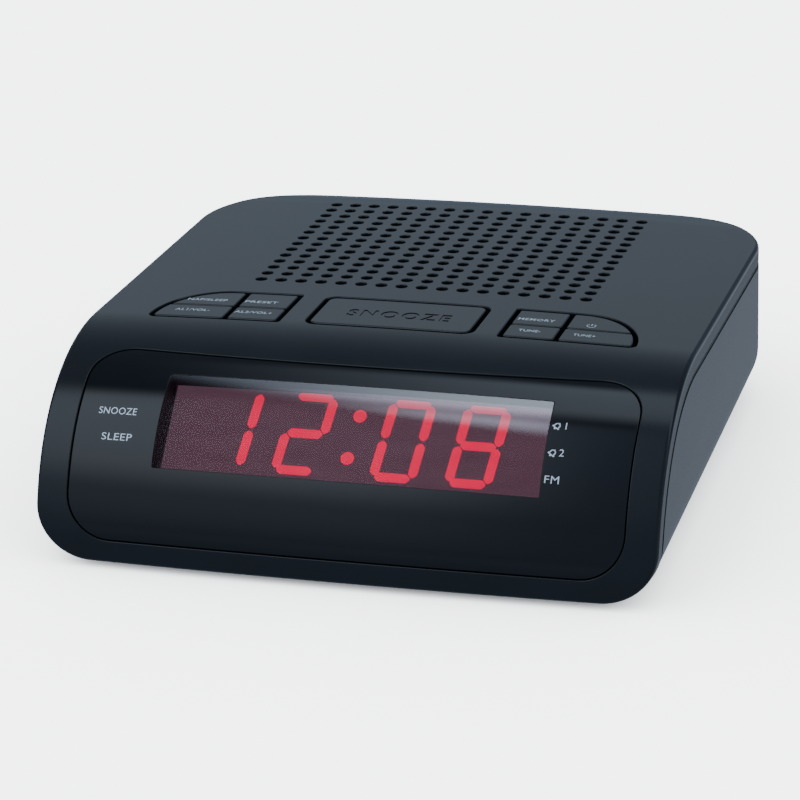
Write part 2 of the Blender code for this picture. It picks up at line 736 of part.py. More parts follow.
def make_battery_bay(cabinet):
    def box(name, grow, z0, z1):
        half = BAY_HALF + grow
        return block(name, -half, half, BAY_FRONT - grow, BAY_BACK + grow, z0, z1)

    ledge = BASE_LEVEL + DOOR_THICKNESS + GAP
    join(cabinet, box("bay_walls", BAY_LEDGE + BAY_WALL, BASE_LEVEL + 1 * mm, BAY_CEILING + BAY_WALL))
    cut(cabinet, box("door_recess", BAY_LEDGE, -1 * mm, ledge), box("bay_hollow", 0, 0, BAY_CEILING))
    hinge_y, hinge_z = BAY_FRONT - BAY_LEDGE + 0.9 * mm, BASE_LEVEL + 0.55 * mm
    edge = BAY_LEDGE - GAP
    outline = rectangle(
        -BAY_HALF - edge, BAY_HALF + edge, BAY_FRONT - edge - hinge_y, BAY_BACK + edge - hinge_y)
    soft = offset_outline(outline, lambda a, b: -0.3 * mm)
    loft("battery_door", [
        level(soft, BASE_LEVEL - hinge_z), level(outline, BASE_LEVEL + 0.3 * mm - hinge_z),
        level(outline, BASE_LEVEL + DOOR_THICKNESS - hinge_z),
    ], "cabinet_plastic", at=(0, hinge_y, hinge_z))
    plate, low, high = 0.8 * mm, 7 * mm, 16 * mm
    wall = BAY_HALF - GAP
    front, back = BAY_FRONT + 1.5 * mm, BAY_BACK - 1.5 * mm
    middle = (front + back) / 2
    block("battery_bridge_contact", -wall, plate - wall, front, back, low, high, "bare_steel")
    for name, y0, y1 in (
        ("battery_positive_contact", front, middle - 1.5 * mm),
        ("battery_negative_contact", middle + 1.5 * mm, back),
    ):
        block(name, wall - plate, wall, y0, y1, low, high, "bare_steel")


def make_glands(cabinet):
    """The rubber bushings in the back wall that the mains lead and the aerial wire pass through."""
    outside = BACK_EDGE - CABINET_INSET
    for name, x, z, hole, wire in (
        ("cord_gland", -32 * mm, 14 * mm, 3.6 * mm, 2.2 * mm),
        ("aerial_gland", 30 * mm, 14 * mm, 1.9 * mm, 0.8 * mm),
    ):
        cutter = turned(name + "_hole", [(hole, -8 * mm), (hole, 8 * mm)], 16, at=(x, outside, z))
        cutter.rotation_euler = (pi / 2, 0, 0)
        cut(cabinet, cutter)
        flange = hole + 1.8 * mm
        # Local Z runs out of the back of the cabinet.
        gland = turned(name, [
            (wire, GLAND_REACH), (flange - 0.8 * mm, GLAND_REACH - 0.4 * mm),
            (flange, 1.4 * mm), (flange, GAP), (hole - GAP, GAP),
            (hole - GAP, -WALL - 1 * mm), (wire, -WALL - 1 * mm),
        ], 16, "rubber", at=(x, outside, z), hollow=True)
        gland.rotation_euler = (-pi / 2, 0, 0)


# ---------------------------------------------------------------- inner pieces


def make_speaker(deck):
    at = (0, GRILLE_MIDDLE, 0)
    rim, high = SPEAKER_RADIUS, -WALL - GAP - crown(SPEAKER_RADIUS)
    top = high - 1.3 * mm
    seat = CONE_RADIUS + 0.8 * mm
    turned("speaker_gasket", [
        (rim, high), (rim, top + GAP), (seat + 0.4 * mm, top + GAP), (seat + 0.4 * mm, high),
    ], 24, "foam", deck, at, hollow=True)
    floor = top - 13.2 * mm
    step = top - 2.4 * mm  # leaves room under the cone's edge for its stroke
    turned("speaker_frame", [
        (rim, top), (rim, top - 1.2 * mm), (seat + 1.2 * mm, top - 1.2 * mm), (seat + 1.2 * mm, step),
        (17 * mm, floor + 1 * mm), (17 * mm, floor), (7 * mm, floor), (7 * mm, floor + 1 * mm),
        (16 * mm, floor + 1.2 * mm), (seat, step), (seat, top),
    ], 24, "bare_steel", deck, at, hollow=True)
    turned("speaker_magnet", [
        (MAGNET_RADIUS, floor - GAP), (MAGNET_RADIUS, floor - GAP - 8 * mm),
    ], 24, "magnet_ferrite", deck, at)
    edge = top - 0.6 * mm
    turned("speaker_cone", [
        (2.5 * mm, edge - 5.6 * mm), (7 * mm, edge - 7.4 * mm), (CONE_RADIUS - 3 * mm, edge),
        (CONE_RADIUS, edge), (CONE_RADIUS, edge - 0.6 * mm), (CONE_RADIUS - 3 * mm, edge - 0.8 * mm),
        (7 * mm, edge - 8.2 * mm), (6 * mm, edge - 8.4 * mm), (6 * mm, edge - 11 * mm),
    ], 24, "cone_paper", deck, at)


def make_transformer():
    x, y0, y1, z0, z1 = -50 * mm, -6 * mm, 29 * mm, 5 * mm, 34 * mm
    stack, leg, reach = 7 * mm, 6 * mm, 13.5 * mm

    def ring(at_x, grow):
        return [(at_x, y, z) for y, z in rectangle(y0 + grow, y1 - grow, z0 + grow, z1 - grow)]

    loft("transformer_core", [
        ring(x - stack, 0), ring(x + stack, 0), ring(x + stack, leg), ring(x - stack, leg),
    ], "core_steel", hollow=True)
    loft("transformer_winding", [
        ring(x - reach, leg + 1.5 * mm), ring(x - reach + 1.5 * mm, leg + GAP),
        ring(x + reach - 1.5 * mm, leg + GAP), ring(x + reach, leg + 1.5 * mm),
    ], "winding_tape")


def make_main_board():
    top = 8.0 * mm + BOARD
    block("main_board", -28 * mm, 44 * mm, 2 * mm, 64 * mm, 8.0 * mm, top, "circuit_board")
    base = top + GAP
    block("radio_chip", -12 * mm, 12 * mm, 20 * mm, 28 * mm, base, base + 3 * mm, "chip_plastic")
    block("clock_chip", -22 * mm, -6 * mm, 44 * mm, 56 * mm, base, base + 2.6 * mm, "chip_plastic")
    block("tuner_can", 32 * mm, 42 * mm, 47 * mm, 57 * mm, base, base + 8 * mm, "bare_steel")
    block("voltage_regulator", 20 * mm, 30 * mm, 4 * mm, 8.5 * mm, base, base + 15 * mm, "chip_plastic")
    turned("filter_capacitor", [
        (5 * mm, base), (5 * mm, base + 15 * mm), (4.2 * mm, base + 16 * mm),
    ], 16, "capacitor_sleeve", at=(38 * mm, 9 * mm, 0))
    # The ribbon climbs from the main board to the back edge of the key board.
    route = [(6.0, 10.7), (-1.0, 11.2), (-3.0, 14.5), (-3.2, 24.0), (-5.0, 29.4), (-7.4, 30.9)]
    rings = []
    for index, (y, z) in enumerate(route):
        before, after = route[max(index - 1, 0)], route[min(index + 1, len(route) - 1)]
        ahead = Vector((after[0] - before[0], after[1] - before[1])).normalized()
        side = Vector((-ahead.y, ahead.x)) * 0.4
        y_low, z_low, y_high, z_high = y - side.x, z - side.y, y + side.x, z + side.y
        rings.append([
            (4 * mm, y_low * mm, z_low * mm), (16 * mm, y_low * mm, z_low * mm),
            (16 * mm, y_high * mm, z_high * mm), (4 * mm, y_high * mm, z_high * mm),
        ])
    loft("ribbon_cable", rings, "cable_grey")


def centre_on_origin(deck):
    """Moves the model so that its front and back are equally far from the origin."""
    front = (deck.matrix_world @ skin(0, FACE_LENGTH)).y
    back = BACK_EDGE - CABINET_INSET + GLAND_REACH
    for obj in bpy.data.objects:
        if obj.parent is None:
            obj.location.y -= (front + back) / 2


def main():
    clear_scene()
    place = Matrix.Translation((0, 0, DECK_HEIGHT)) @ Matrix.Rotation(-DECK_SLOPE, 4, "X")
    deck = frame("deck_frame", place)
    make_cover(deck)
    make_panel(deck)
    make_display(deck)
    make_keys(deck)
    make_cabinet(deck)
    make_speaker(deck)
    make_transformer()
    make_main_board()
    centre_on_origin(deck)
    bpy.context.view_layer.update()


main()
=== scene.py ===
"""The looks of the clock radio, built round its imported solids.

The cover, the front panel, the window lens and the keys all follow one surface, the skin: a
sloping deck that rolls over at the front into a tall curved face. They are laid out flat, in
(u, v) across and back along the skin, and bent onto it. Lengths are in metres, in the part's
own frame: X across, Y from front to back, Z up.
"""

import json
from math import atan2, ceil, cos, hypot, pi, radians, sin

import bmesh
import bpy
import numpy
from mathutils import Matrix, Vector
from mathutils.geometry import delaunay_2d_cdt


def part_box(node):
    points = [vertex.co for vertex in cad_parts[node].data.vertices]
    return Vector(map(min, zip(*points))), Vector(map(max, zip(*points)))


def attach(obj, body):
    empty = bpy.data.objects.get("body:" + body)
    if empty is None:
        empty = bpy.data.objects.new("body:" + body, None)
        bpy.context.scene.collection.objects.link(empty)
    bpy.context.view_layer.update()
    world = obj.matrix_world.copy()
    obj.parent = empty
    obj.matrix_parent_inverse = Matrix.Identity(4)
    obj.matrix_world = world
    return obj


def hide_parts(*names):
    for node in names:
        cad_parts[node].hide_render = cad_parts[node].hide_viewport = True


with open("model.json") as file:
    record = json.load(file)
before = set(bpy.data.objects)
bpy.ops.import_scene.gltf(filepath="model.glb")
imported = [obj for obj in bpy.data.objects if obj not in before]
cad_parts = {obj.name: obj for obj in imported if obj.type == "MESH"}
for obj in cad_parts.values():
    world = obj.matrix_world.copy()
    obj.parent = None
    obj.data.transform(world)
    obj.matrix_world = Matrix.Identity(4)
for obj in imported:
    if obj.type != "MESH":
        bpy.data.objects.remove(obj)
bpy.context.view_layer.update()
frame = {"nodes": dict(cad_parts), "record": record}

mm = 0.001

# Housing, as the solids have it
HALF_WIDTH = 68.4 * mm
BACK_EDGE = 73.2 * mm
BACK_CORNER = 25.5 * mm
WALL = 2.2 * mm
RIM = 4.0 * mm
GROOVE = 1.0 * mm
GAP = 0.3 * mm
TONGUE_INSET = 0.2 * mm  # of the dark tongue that closes the groove behind
TONGUE_GAP = 0.06 * mm
DECK_SLOPE = radians(2.5)
DECK_HEIGHT = 41.7 * mm
ARC_START = -28.0 * mm
ARC_DEPTH = 44.2 * mm
ARC_HEIGHT = 43.4 * mm
ARC_POWER = 2.13
CROWN = 1.1 * mm
FRONT_BOW = 1.4 * mm
BACK_ROLL = 0.9 * mm
BACK_ROLL_START = 63.0 * mm
FRONT_CORNER = 12.4 * mm
EDGE_ROUND = 1.0 * mm

# Front panel and display
PANEL_HALF = 61.3 * mm
PANEL_TOP = 18.9 * mm
PANEL_BOTTOM = 64.5 * mm
PANEL_CORNER = 9.8 * mm
PANEL_TOP_ARCH = 2.3 * mm
PANEL_SINK = 0.2 * mm
PANEL_BACK = WALL + GAP + 1.2 * mm
PANEL_CLEARANCE = 0.22 * mm
WINDOW_HALF = 42.5 * mm
WINDOW_TOP = 24.7 * mm
WINDOW_BOTTOM = 47.5 * mm
WINDOW_CORNER = 0.4 * mm
LENS_BACK = 1.5 * mm
DISPLAY_DEPTH = 8.2 * mm

# Grille and keys, in the deck's frame
GRILLE_PITCH = 4.75 * mm
GRILLE_COLUMNS = 17
GRILLE_ROWS = 14
GRILLE_HOLE = 1.3 * mm
KEY_GAP = 1.0 * mm
KEY_ROW_GAP = 0.6 * mm
KEY_FRONT = -29.5 * mm
KEY_BACK = -10.6 * mm
KEY_ROW_LINE = -20.8 * mm
KEY_COLUMN_LINE = 37.5 * mm
KEY_GROUP_INNER = 25.2 * mm
KEY_GROUP_CURVE = 40.1 * mm
KEY_GROUP_TIP = 54.7 * mm
KEY_GROUP_NICK = 0.8 * mm
SNOOZE_HALF = 18.65 * mm
SNOOZE_CORNER = 2.4 * mm
KEY_DEPTH = WALL + GAP + 1.0 * mm
KEY_STEM_END = KEY_DEPTH + 1.8 * mm

# Cabinet
BASE_LEVEL = 2.35 * mm
CABINET_INSET = 0.1 * mm
BASE_ROUND = 10.4 * mm
FOOT_SINK = 0.8 * mm
FOOT_RADIUS = 6.0 * mm
FOOT_FRONT = (44.0 * mm, -56.0 * mm)
FOOT_REAR = (34.0 * mm, 53.0 * mm)
SCREW_FRONT = (53.5 * mm, -36.5 * mm)
SCREW_REAR = (50.0 * mm, 50.0 * mm)
SCREW_SEAT = 17.0 * mm
BAY_HALF = 26.0 * mm
BAY_FRONT = -33.0 * mm
BAY_BACK = -9.0 * mm
BAY_CEILING = 18.0 * mm
BAY_LEDGE = 2.5 * mm
BAY_WALL = 1.8 * mm
DOOR_THICKNESS = 2.0 * mm
GLAND_HOLES = {"cord_gland": 3.6 * mm, "aerial_gland": 1.9 * mm}


def in_corners(name, front, rear):
    """The names and places of four pieces, given the two on the right."""
    places = {}
    for row, (x, y) in (("front", front), ("rear", rear)):
        places[f"{name}_{row}_left"] = (-x, y)
        places[f"{name}_{row}_right"] = (x, y)
    return places


FOOT_PLACES = in_corners("foot", FOOT_FRONT, FOOT_REAR)
SCREW_PLACES = in_corners("case_screw", SCREW_FRONT, SCREW_REAR)

# The whole model stands a little forward of the frame that the lengths above are given in.
foot_low, foot_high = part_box("foot_front_right")
SHIFT = (foot_low.y + foot_high.y) / 2 - FOOT_FRONT[1]
WORLD = Matrix.Translation((0, SHIFT, 0))
DECK = WORLD @ Matrix.Translation((0, 0, DECK_HEIGHT)) @ Matrix.Rotation(-DECK_SLOPE, 4, "X")


# ---------------------------------------------------------------- the skin

ARC_ANGLES = numpy.linspace(0, pi / 2, 1201)


def arc_point(angle):
    """A point of the face's profile and its outward normal, as (y, z) in the deck's frame."""
    ahead = sin(angle) ** (2 / ARC_POWER)
    up = max(cos(angle), 0) ** (2 / ARC_POWER)
    normal = Vector((-(ahead ** (ARC_POWER - 1)) / ARC_DEPTH, up ** (ARC_POWER - 1) / ARC_HEIGHT))
    return Vector((ARC_START - ARC_DEPTH * ahead, -ARC_HEIGHT * (1 - up))), normal.normalized()


ARC_POINTS = numpy.array([arc_point(angle)[0] for angle in ARC_ANGLES])
ARC_LENGTHS = numpy.append(0, numpy.cumsum(numpy.hypot(*numpy.diff(ARC_POINTS, axis=0).T)))
FACE_LENGTH = float(ARC_LENGTHS[-1])


def skin(u, v, depth=0.0):
    """A point in the deck's frame, depth under the skin: u across, v back from the arc's start."""
    share = (u / HALF_WIDTH) ** 2
    if v >= 0:
        y = ARC_START + v
        roll = BACK_ROLL * (max(y - BACK_ROLL_START, 0) / (BACK_EDGE - BACK_ROLL_START)) ** 2
        return Vector((u, y, -depth - CROWN * share - roll))
    angle = float(numpy.interp(-v, ARC_LENGTHS, ARC_ANGLES))
    point, normal = arc_point(angle)
    bow = CROWN + (FRONT_BOW - CROWN) * sin(angle) ** 2
    return Vector((u, *(point - normal * (depth + bow * share))))


def skin_axes(u, v):
    """The skin's outward normal, and the directions in which u and v grow."""
    step = 0.05 * mm
    across = (skin(u + step, v) - skin(u - step, v)).normalized()
    back = (skin(u, v + step) - skin(u, v - step)).normalized()
    return across.cross(back), across, back


# ---------------------------------------------------------------- flat outlines


def offset(loop, distance):
    """The loop moved into its material: inwards if anticlockwise, outwards if clockwise."""
    points = numpy.array(loop)
    ahead = numpy.roll(points, -1, axis=0) - points
    ahead /= numpy.linalg.norm(ahead, axis=1)[:, None]
    outward = numpy.stack([ahead[:, 1], -ahead[:, 0]], axis=1)
    middle = outward + numpy.roll(outward, 1, axis=0)
    size = (middle ** 2).sum(axis=1)[:, None]
    return [tuple(p) for p in points - distance * 2 * middle / size]


def outward_of(loop):
    """Each corner's direction away from the material, as unit vectors in (u, v)."""
    points = numpy.array(loop)
    moved = points - numpy.array(offset(loop, 0.1 * mm))
    return moved / numpy.linalg.norm(moved, axis=1)[:, None]


def subdivided(loop, step):
    """The loop with its long edges cut into equal lengths of at most step."""
    points = []
    for i, (x, y) in enumerate(loop):
        next_x, next_y = loop[(i + 1) % len(loop)]
        count = max(ceil(hypot(next_x - x, next_y - y) / step - 0.01), 1)
        points += [(x + (next_x - x) * k / count, y + (next_y - y) * k / count) for k in range(count)]
    return points


SHARP = radians(150)  # a loop's corner below this angle is a sharp one


def filleted(loop, radius, steps=5):
    """The loop with its sharp corners rounded."""
    points = []
    for i, here in enumerate(loop):
        here = Vector(here)
        before, after = Vector(loop[i - 1]) - here, Vector(loop[(i + 1) % len(loop)]) - here
        if before.angle(after) > SHARP:
            points.append(tuple(here))
            continue
        reach = min(radius, before.length * 0.45, after.length * 0.45)
        start, end = here + before.normalized() * reach, here + after.normalized() * reach
        for k in range(steps + 1):
            t = k / steps
            points.append(tuple(start * (1 - t) ** 2 + here * 2 * t * (1 - t) + end * t ** 2))
    return points


def circle(radius, count, middle=(0, 0)):
    turn = 2 * pi / count
    return [
        (middle[0] + radius * cos(i * turn), middle[1] + radius * sin(i * turn))
        for i in range(count)
    ]


def rounded_rectangle(x0, x1, y0, y1, radius, turns):
    """Anticlockwise from the right of the back edge; radius may differ at the (front, back)."""
    front, back = radius if isinstance(radius, tuple) else (radius, radius)
    corners = [(x1, y1, back, -1, -1), (x0, y1, back, 1, -1), (x0, y0, front, 1, 1), (x1, y0, front, -1, 1)]
    points = []
    for quarter, (x, y, r, right, up) in enumerate(corners):
        for k in range(turns + 1):
            angle = pi / 2 * (quarter + k / turns)
            points.append((x + right * r + r * cos(angle), y + up * r + r * sin(angle)))
    return points


def clip(loop, axis, limit, keep_above):
    """The part of a loop on one side of a line across axis 0 (u) or 1 (v)."""
    side = 1 if keep_above else -1
    kept = []
    for i, a in enumerate(loop):
        b = loop[(i + 1) % len(loop)]
        a_in = side * (a[axis] - limit) >= 0
        b_in = side * (b[axis] - limit) >= 0
        if a_in:
            kept.append(a)
        if a_in != b_in:
            share = (limit - a[axis]) / (b[axis] - a[axis])
            kept.append(tuple(a[k] + share * (b[k] - a[k]) for k in (0, 1)))
    return kept


def on_deck(loop):
    """Deck coordinates (x, y) as (u, v)."""
    return [(x, y - ARC_START) for x, y in loop]


# ---------------------------------------------------------------- meshes


def placed(name, data):
    """A new object that holds a mesh, a curve or a camera."""
    obj = bpy.data.objects.new(name, data)
    bpy.context.collection.objects.link(obj)
    return obj


def round_over(radius, steps, inset=0.0, depth=0.0):
    """Rings of a rounded top edge as (inset, depth, angle from the face's normal)."""
    angles = [radians(90 * k / steps) for k in range(steps + 1)]
    return [(inset + radius * (1 - sin(a)), depth + radius * (1 - cos(a)), a) for a in angles]


def round_under(radius, steps, inset, depth):
    """Rings of a rounded lower edge that ends at the given depth."""
    angles = [radians(90 + 90 * k / steps) for k in range(steps + 1)]
    return [(inset + radius * (1 - sin(a)), depth - radius * (1 + cos(a)), a) for a in angles]


INSIDE_WITH_HOLES = 2


class Bent:
    """Collects a mesh that is laid out flat and bent onto the skin, with its corner normals."""

    def __init__(self):
        self.points = []
        self.faces = []
        self.normals = []
        self.lined = set()
        self.cache = {}

    def axes(self, u, v):
        key = (round(u, 6), round(v, 6))
        if key not in self.cache:
            self.cache[key] = skin_axes(u, v)
        return self.cache[key]

    def ring(self, loop, depth):
        first = len(self.points)
        self.points += [skin(u, v, depth) for u, v in loop]
        return list(range(first, first + len(loop)))

    def strip(self, upper, lower, upper_normals=None, lower_normals=None):
        """A band of faces between two rings of equal counts."""
        count = len(upper)
        for i in range(count):
            j = (i + 1) % count
            self.faces.append((upper[i], lower[i], lower[j], upper[j]))
            if upper_normals is None:
                self.normals += [(0, 0, 0)] * 4
            else:
                self.normals += [upper_normals[i], lower_normals[i], lower_normals[j], upper_normals[j]]

    def edge(self, loop, rings, lined=None):
        """Bands along one loop through (inset, depth, angle) rings; returns the first and last.

        The band numbered lined takes the piece's second material.
        """
        outward = outward_of(loop)
        made = []
        for inset, depth, angle in rings:
            moved = offset(loop, inset) if inset else loop
            tilted = None
            if angle is not None:
                tilted = []
                for (u, v), (du, dv) in zip(moved, outward):
                    up, across, back = self.axes(u, v)
                    tilted.append(up * cos(angle) + (across * du + back * dv) * sin(angle))
            made.append((self.ring(moved, depth), moved, tilted))
        for band, ((upper, _, above), (lower, _, below)) in enumerate(zip(made, made[1:])):
            smooth = above is not None and below is not None
            first = len(self.faces)
            self.strip(upper, lower, above if smooth else None, below if smooth else None)
            if band == lined:
                self.lined.update(range(first, len(self.faces)))
        return made[0][:2], made[-1][:2]

    def fill(self, rings, grid, depth, facing=1):
        """Triangles between rings of (indices, loop), through the grid's inner points."""
        ids, flat, regions = [], [], []
        for indices, loop in rings:
            regions.append(list(range(len(flat), len(flat) + len(loop))))
            ids += indices
            flat += loop
        border = len(flat)
        flat = [Vector(p) for p in flat + list(grid)]
        placed, _, faces, origins, _, _ = delaunay_2d_cdt(flat, [], regions, INSIDE_WITH_HOLES, 1e-9)
        index = {}
        for face in faces:
            corners = []
            for k in face:
                if k not in index:
                    known = [i for i in origins[k] if i < border]
                    if known:
                        index[k] = ids[known[0]]
                    else:
                        index[k] = len(self.points)
                        self.points.append(skin(placed[k].x, placed[k].y, depth))
                corners.append((index[k], placed[k]))
            a, b, c = (place for _, place in corners)
            if ((b - a).cross(c - a) < 0) == (facing > 0):
                corners.reverse()
            self.faces.append(tuple(i for i, _ in corners))
            self.normals += [self.axes(place.x, place.y)[0] * facing for _, place in corners]

    def build(self, name, finish, lining=None):
        mesh = bpy.data.meshes.new(name)
        mesh.from_pydata([tuple(p) for p in self.points], [], self.faces)
        mesh.shade_smooth()
        mesh.set_sharp_from_angle(angle=radians(35))
        mesh.normals_split_custom_set([tuple(n) for n in self.normals])
        mesh.transform(DECK)
        mesh.materials.append(finishes[finish])
        if lining:
            mesh.materials.append(finishes[lining])
            for face in self.lined:
                mesh.polygons[face].material_index = 1
        return placed(name, mesh)


def inner_grid(half, front, back, step_u, step_v, loops, clearance):
    """Grid points of a patch that keep clear of its loops."""
    columns = max(round(2 * half / step_u), 1)
    rows = max(round((back - front) / step_v), 1)
    us = numpy.linspace(-half, half, columns + 1)
    vs = numpy.linspace(front, back, rows + 1)
    points = numpy.array([(u, v) for u in us for v in vs])
    border = numpy.array([p for loop in loops for p in loop])
    near = numpy.full(len(points), numpy.inf)
    for start in range(0, len(border), 500):
        gaps = points[:, None, :] - border[None, start:start + 500, :]
        near = numpy.minimum(near, (gaps ** 2).sum(axis=2).min(axis=1))
    return [tuple(p) for p in points[near > clearance ** 2]]


def add_mesh(name, bm, finish=None, place=WORLD):
    bmesh.ops.recalc_face_normals(bm, faces=bm.faces[:])
    mesh = bpy.data.meshes.new(name)
    bm.to_mesh(mesh)
    bm.free()
    mesh.shade_smooth()
    mesh.set_sharp_from_angle(angle=radians(35))
    mesh.transform(place)
    if finish:
        mesh.materials.append(finishes[finish])
    return placed(name, mesh)


def loft(name, rings, finish=None, place=WORLD, hollow=False):
    """A solid through rings of equal point counts. A hollow one runs back into its first ring."""
    bm = bmesh.new()
    loops = [[bm.verts.new(point) for point in ring] for ring in rings]
    count = len(loops[0])
    pairs = list(zip(loops, loops[1:]))
    if hollow:
        pairs.append((loops[-1], loops[0]))
    else:
        bm.faces.new(loops[0])
        bm.faces.new(loops[-1])
    for lower, upper in pairs:
        for i in range(count):
            j = (i + 1) % count
            bm.faces.new((lower[i], lower[j], upper[j], upper[i]))
    return add_mesh(name, bm, finish, place)


def level(points, z):
    return [(x, y, z) for x, y in points]


def turned(name, profile, count, finish=None, place=WORLD, hollow=False):
    """A solid turned about Z from (radius, height) points."""
    return loft(name, [level(circle(r, count), z) for r, z in profile], finish, place, hollow)


def block(name, x0, x1, y0, y1, z0, z1, place=WORLD):
    outline = [(x0, y0), (x1, y0), (x1, y1), (x0, y1)]
    return loft(name, [level(outline, z0), level(outline, z1)], place=place)


def combine(target, other, operation):
    """Applies a Boolean of two meshes to the first, and removes the second."""
    modifier = target.modifiers.new("combine", "BOOLEAN")
    modifier.operation = operation
    modifier.solver = "EXACT"
    modifier.object = other
    graph = bpy.context.evaluated_depsgraph_get()
    mesh = bpy.data.meshes.new_from_object(target.evaluated_get(graph))
    target.modifiers.clear()
    target.data = mesh
    bpy.data.objects.remove(other)


def cut(target, other):
    combine(target, other, "DIFFERENCE")


def finished(obj, finish):
    """Smooth shading and one finish again after Booleans."""
    obj.data.shade_smooth()
    obj.data.set_sharp_from_angle(angle=radians(32))
    obj.data.materials.clear()
    obj.data.materials.append(finishes[finish])
    return obj


# ---------------------------------------------------------------- materials


def node(tree, kind, **inputs):
    made = tree.nodes.new(kind)
    for name, value in inputs.items():
        made.inputs[name.replace("_", " ")].default_value = value
    return made


def noise(tree, scale, detail=3.0, stretch=None):
    """A noise in the part's own metres."""
    place = tree.nodes.new("ShaderNodeTexCoord")
    texture = node(tree, "ShaderNodeTexNoise", Scale=scale, Detail=detail)
    source = place.outputs["Object"]
    if stretch:
        mapping = node(tree, "ShaderNodeMapping", Scale=stretch)
        tree.links.new(source, mapping.inputs["Vector"])
        source = mapping.outputs["Vector"]
    tree.links.new(source, texture.inputs["Vector"])
    return texture.outputs["Fac"]


def vector_math(tree, operation, first, second=None, scale=None):
    """A vector node whose inputs are values or other nodes' outputs."""
    made = tree.nodes.new("ShaderNodeVectorMath")
    made.operation = operation
    for socket, value in ((made.inputs[0], first), (made.inputs[1], second), (made.inputs[3], scale)):
        if isinstance(value, bpy.types.NodeSocket):
            tree.links.new(value, socket)
        elif value is not None:
            socket.default_value = value
    return made


def ramp(tree, value, low, high, start=0.3, end=0.7):
    """A colour that runs from low to high as value runs from start to end."""
    made = tree.nodes.new("ShaderNodeValToRGB")
    made.color_ramp.elements[0].position = start
    made.color_ramp.elements[1].position = end
    made.color_ramp.elements[0].color = (*low, 1)
    made.color_ramp.elements[1].color = (*high, 1)
    tree.links.new(value, made.inputs["Fac"])
    return made.outputs["Color"]


def span(tree, value, start, end, low=0.0, high=1.0, smooth=False):
    """A number that runs from low to high as value runs from start to end."""
    made = tree.nodes.new("ShaderNodeMapRange")
    made.interpolation_type = "SMOOTHSTEP" if smooth else "LINEAR"
    for socket, number in zip(made.inputs, (value, start, end, low, high)):
        if isinstance(number, bpy.types.NodeSocket):
            tree.links.new(number, socket)
        else:
            socket.default_value = number
    return made.outputs["Result"]


def mixed(tree, share, first, second):
    """The first shader where share is 0, and the second where it is 1."""
    made = tree.nodes.new("ShaderNodeMixShader")
    for socket, output in zip(made.inputs, (share, first, second)):
        tree.links.new(output, socket)
    return made.outputs["Shader"]


def plastic(name, colour, roughness, grain, depth=0.02 * mm, blotch=0.12, metallic=0.0,
            specular=0.5, grain_scale=3200.0, stretch=None):
    """A moulded surface: mottled colour, uneven roughness and a fine grain in relief."""
    material = bpy.data.materials.new(name)
    material.use_nodes = True
    tree = material.node_tree
    shader = tree.nodes["Principled BSDF"]
    shader.inputs["Metallic"].default_value = metallic
    shader.inputs["Specular IOR Level"].default_value = specular
    low = [c * (1 - blotch) for c in colour]
    high = [c * (1 + blotch) for c in colour]
    broad = noise(tree, 55.0, 4.0)
    tree.links.new(ramp(tree, broad, low, high), shader.inputs["Base Color"])
    fine = noise(tree, grain_scale, 2.0, stretch)
    tree.links.new(span(tree, fine, 0.3, 0.7, roughness * 0.88, roughness * 1.12), shader.inputs["Roughness"])
    if grain:
        bump = node(tree, "ShaderNodeBump", Strength=grain, Distance=depth)
        tree.links.new(fine, bump.inputs["Height"])
        tree.links.new(bump.outputs["Normal"], shader.inputs["Normal"])
    return material


LENS_REFLECTION = 0.004  # of each of its two surfaces, seen square on
LENS_PAINTED_TOP_REFLECTION = 0.18  # the same along its upper edge, raised there as a painted reflection
LENS_PAINTED_SHEEN_START = 32.0 * mm  # lengths down the face between which the painted reflection comes in
LENS_PAINTED_SHEEN_END = 28.0 * mm
LENS_PAINTED_SHEEN_SLANT = 0.05  # how far the painted reflection reaches further down to the right


def lens_material():
    """Smoked red see-through plastic: a clear tint under a polished, slightly mirrored surface, far more
    mirrored near its top and right as a painted reflection.
    """
    material = bpy.data.materials.new("window_tint")
    material.use_nodes = True
    tree = material.node_tree
    tree.nodes.remove(tree.nodes["Principled BSDF"])
    streaks = noise(tree, 90.0, 3.0, (1.0, 3.0, 3.0))
    tint = tree.nodes.new("ShaderNodeBsdfTransparent")
    tree.links.new(ramp(tree, streaks, (0.86, 0.66, 0.74), (0.90, 0.72, 0.79)), tint.inputs["Color"])
    gloss = node(tree, "ShaderNodeBsdfGlossy", Roughness=0.07, Color=(1, 1, 1, 1))
    tilt = tree.nodes.new("ShaderNodeLayerWeight")
    grazing = tree.nodes.new("ShaderNodeMath")
    grazing.operation = "POWER"
    grazing.inputs[1].default_value = 5.0
    tree.links.new(tilt.outputs["Facing"], grazing.inputs[0])
    place = tree.nodes.new("ShaderNodeTexCoord")
    # Painted reflection: the studio's reflection is real, but its strength is raised near the top edge,
    # further down to the right, where a highlight falls.
    height = vector_math(tree, "DOT_PRODUCT", place.outputs["Object"], (LENS_PAINTED_SHEEN_SLANT, 0, 1))
    start, end = ((DECK @ skin(0, -down)).z for down in (LENS_PAINTED_SHEEN_START, LENS_PAINTED_SHEEN_END))
    painted_sheen = span(tree, height.outputs["Value"], start, end, LENS_REFLECTION, LENS_PAINTED_TOP_REFLECTION, smooth=True)
    share = span(tree, grazing.outputs["Value"], 0.0, 1.0, painted_sheen)
    surface = mixed(tree, share, tint.outputs["BSDF"], gloss.outputs["BSDF"])
    tree.links.new(surface, tree.nodes["Material Output"].inputs["Surface"])
    return material


def glowing(material, low, high, strength, scale=700.0):
    """Adds an uneven glow to a material."""
    tree = material.node_tree
    shader = tree.nodes["Principled BSDF"]
    tree.links.new(ramp(tree, noise(tree, scale, 2.0), low, high), shader.inputs["Emission Color"])
    shader.inputs["Emission Strength"].default_value = strength


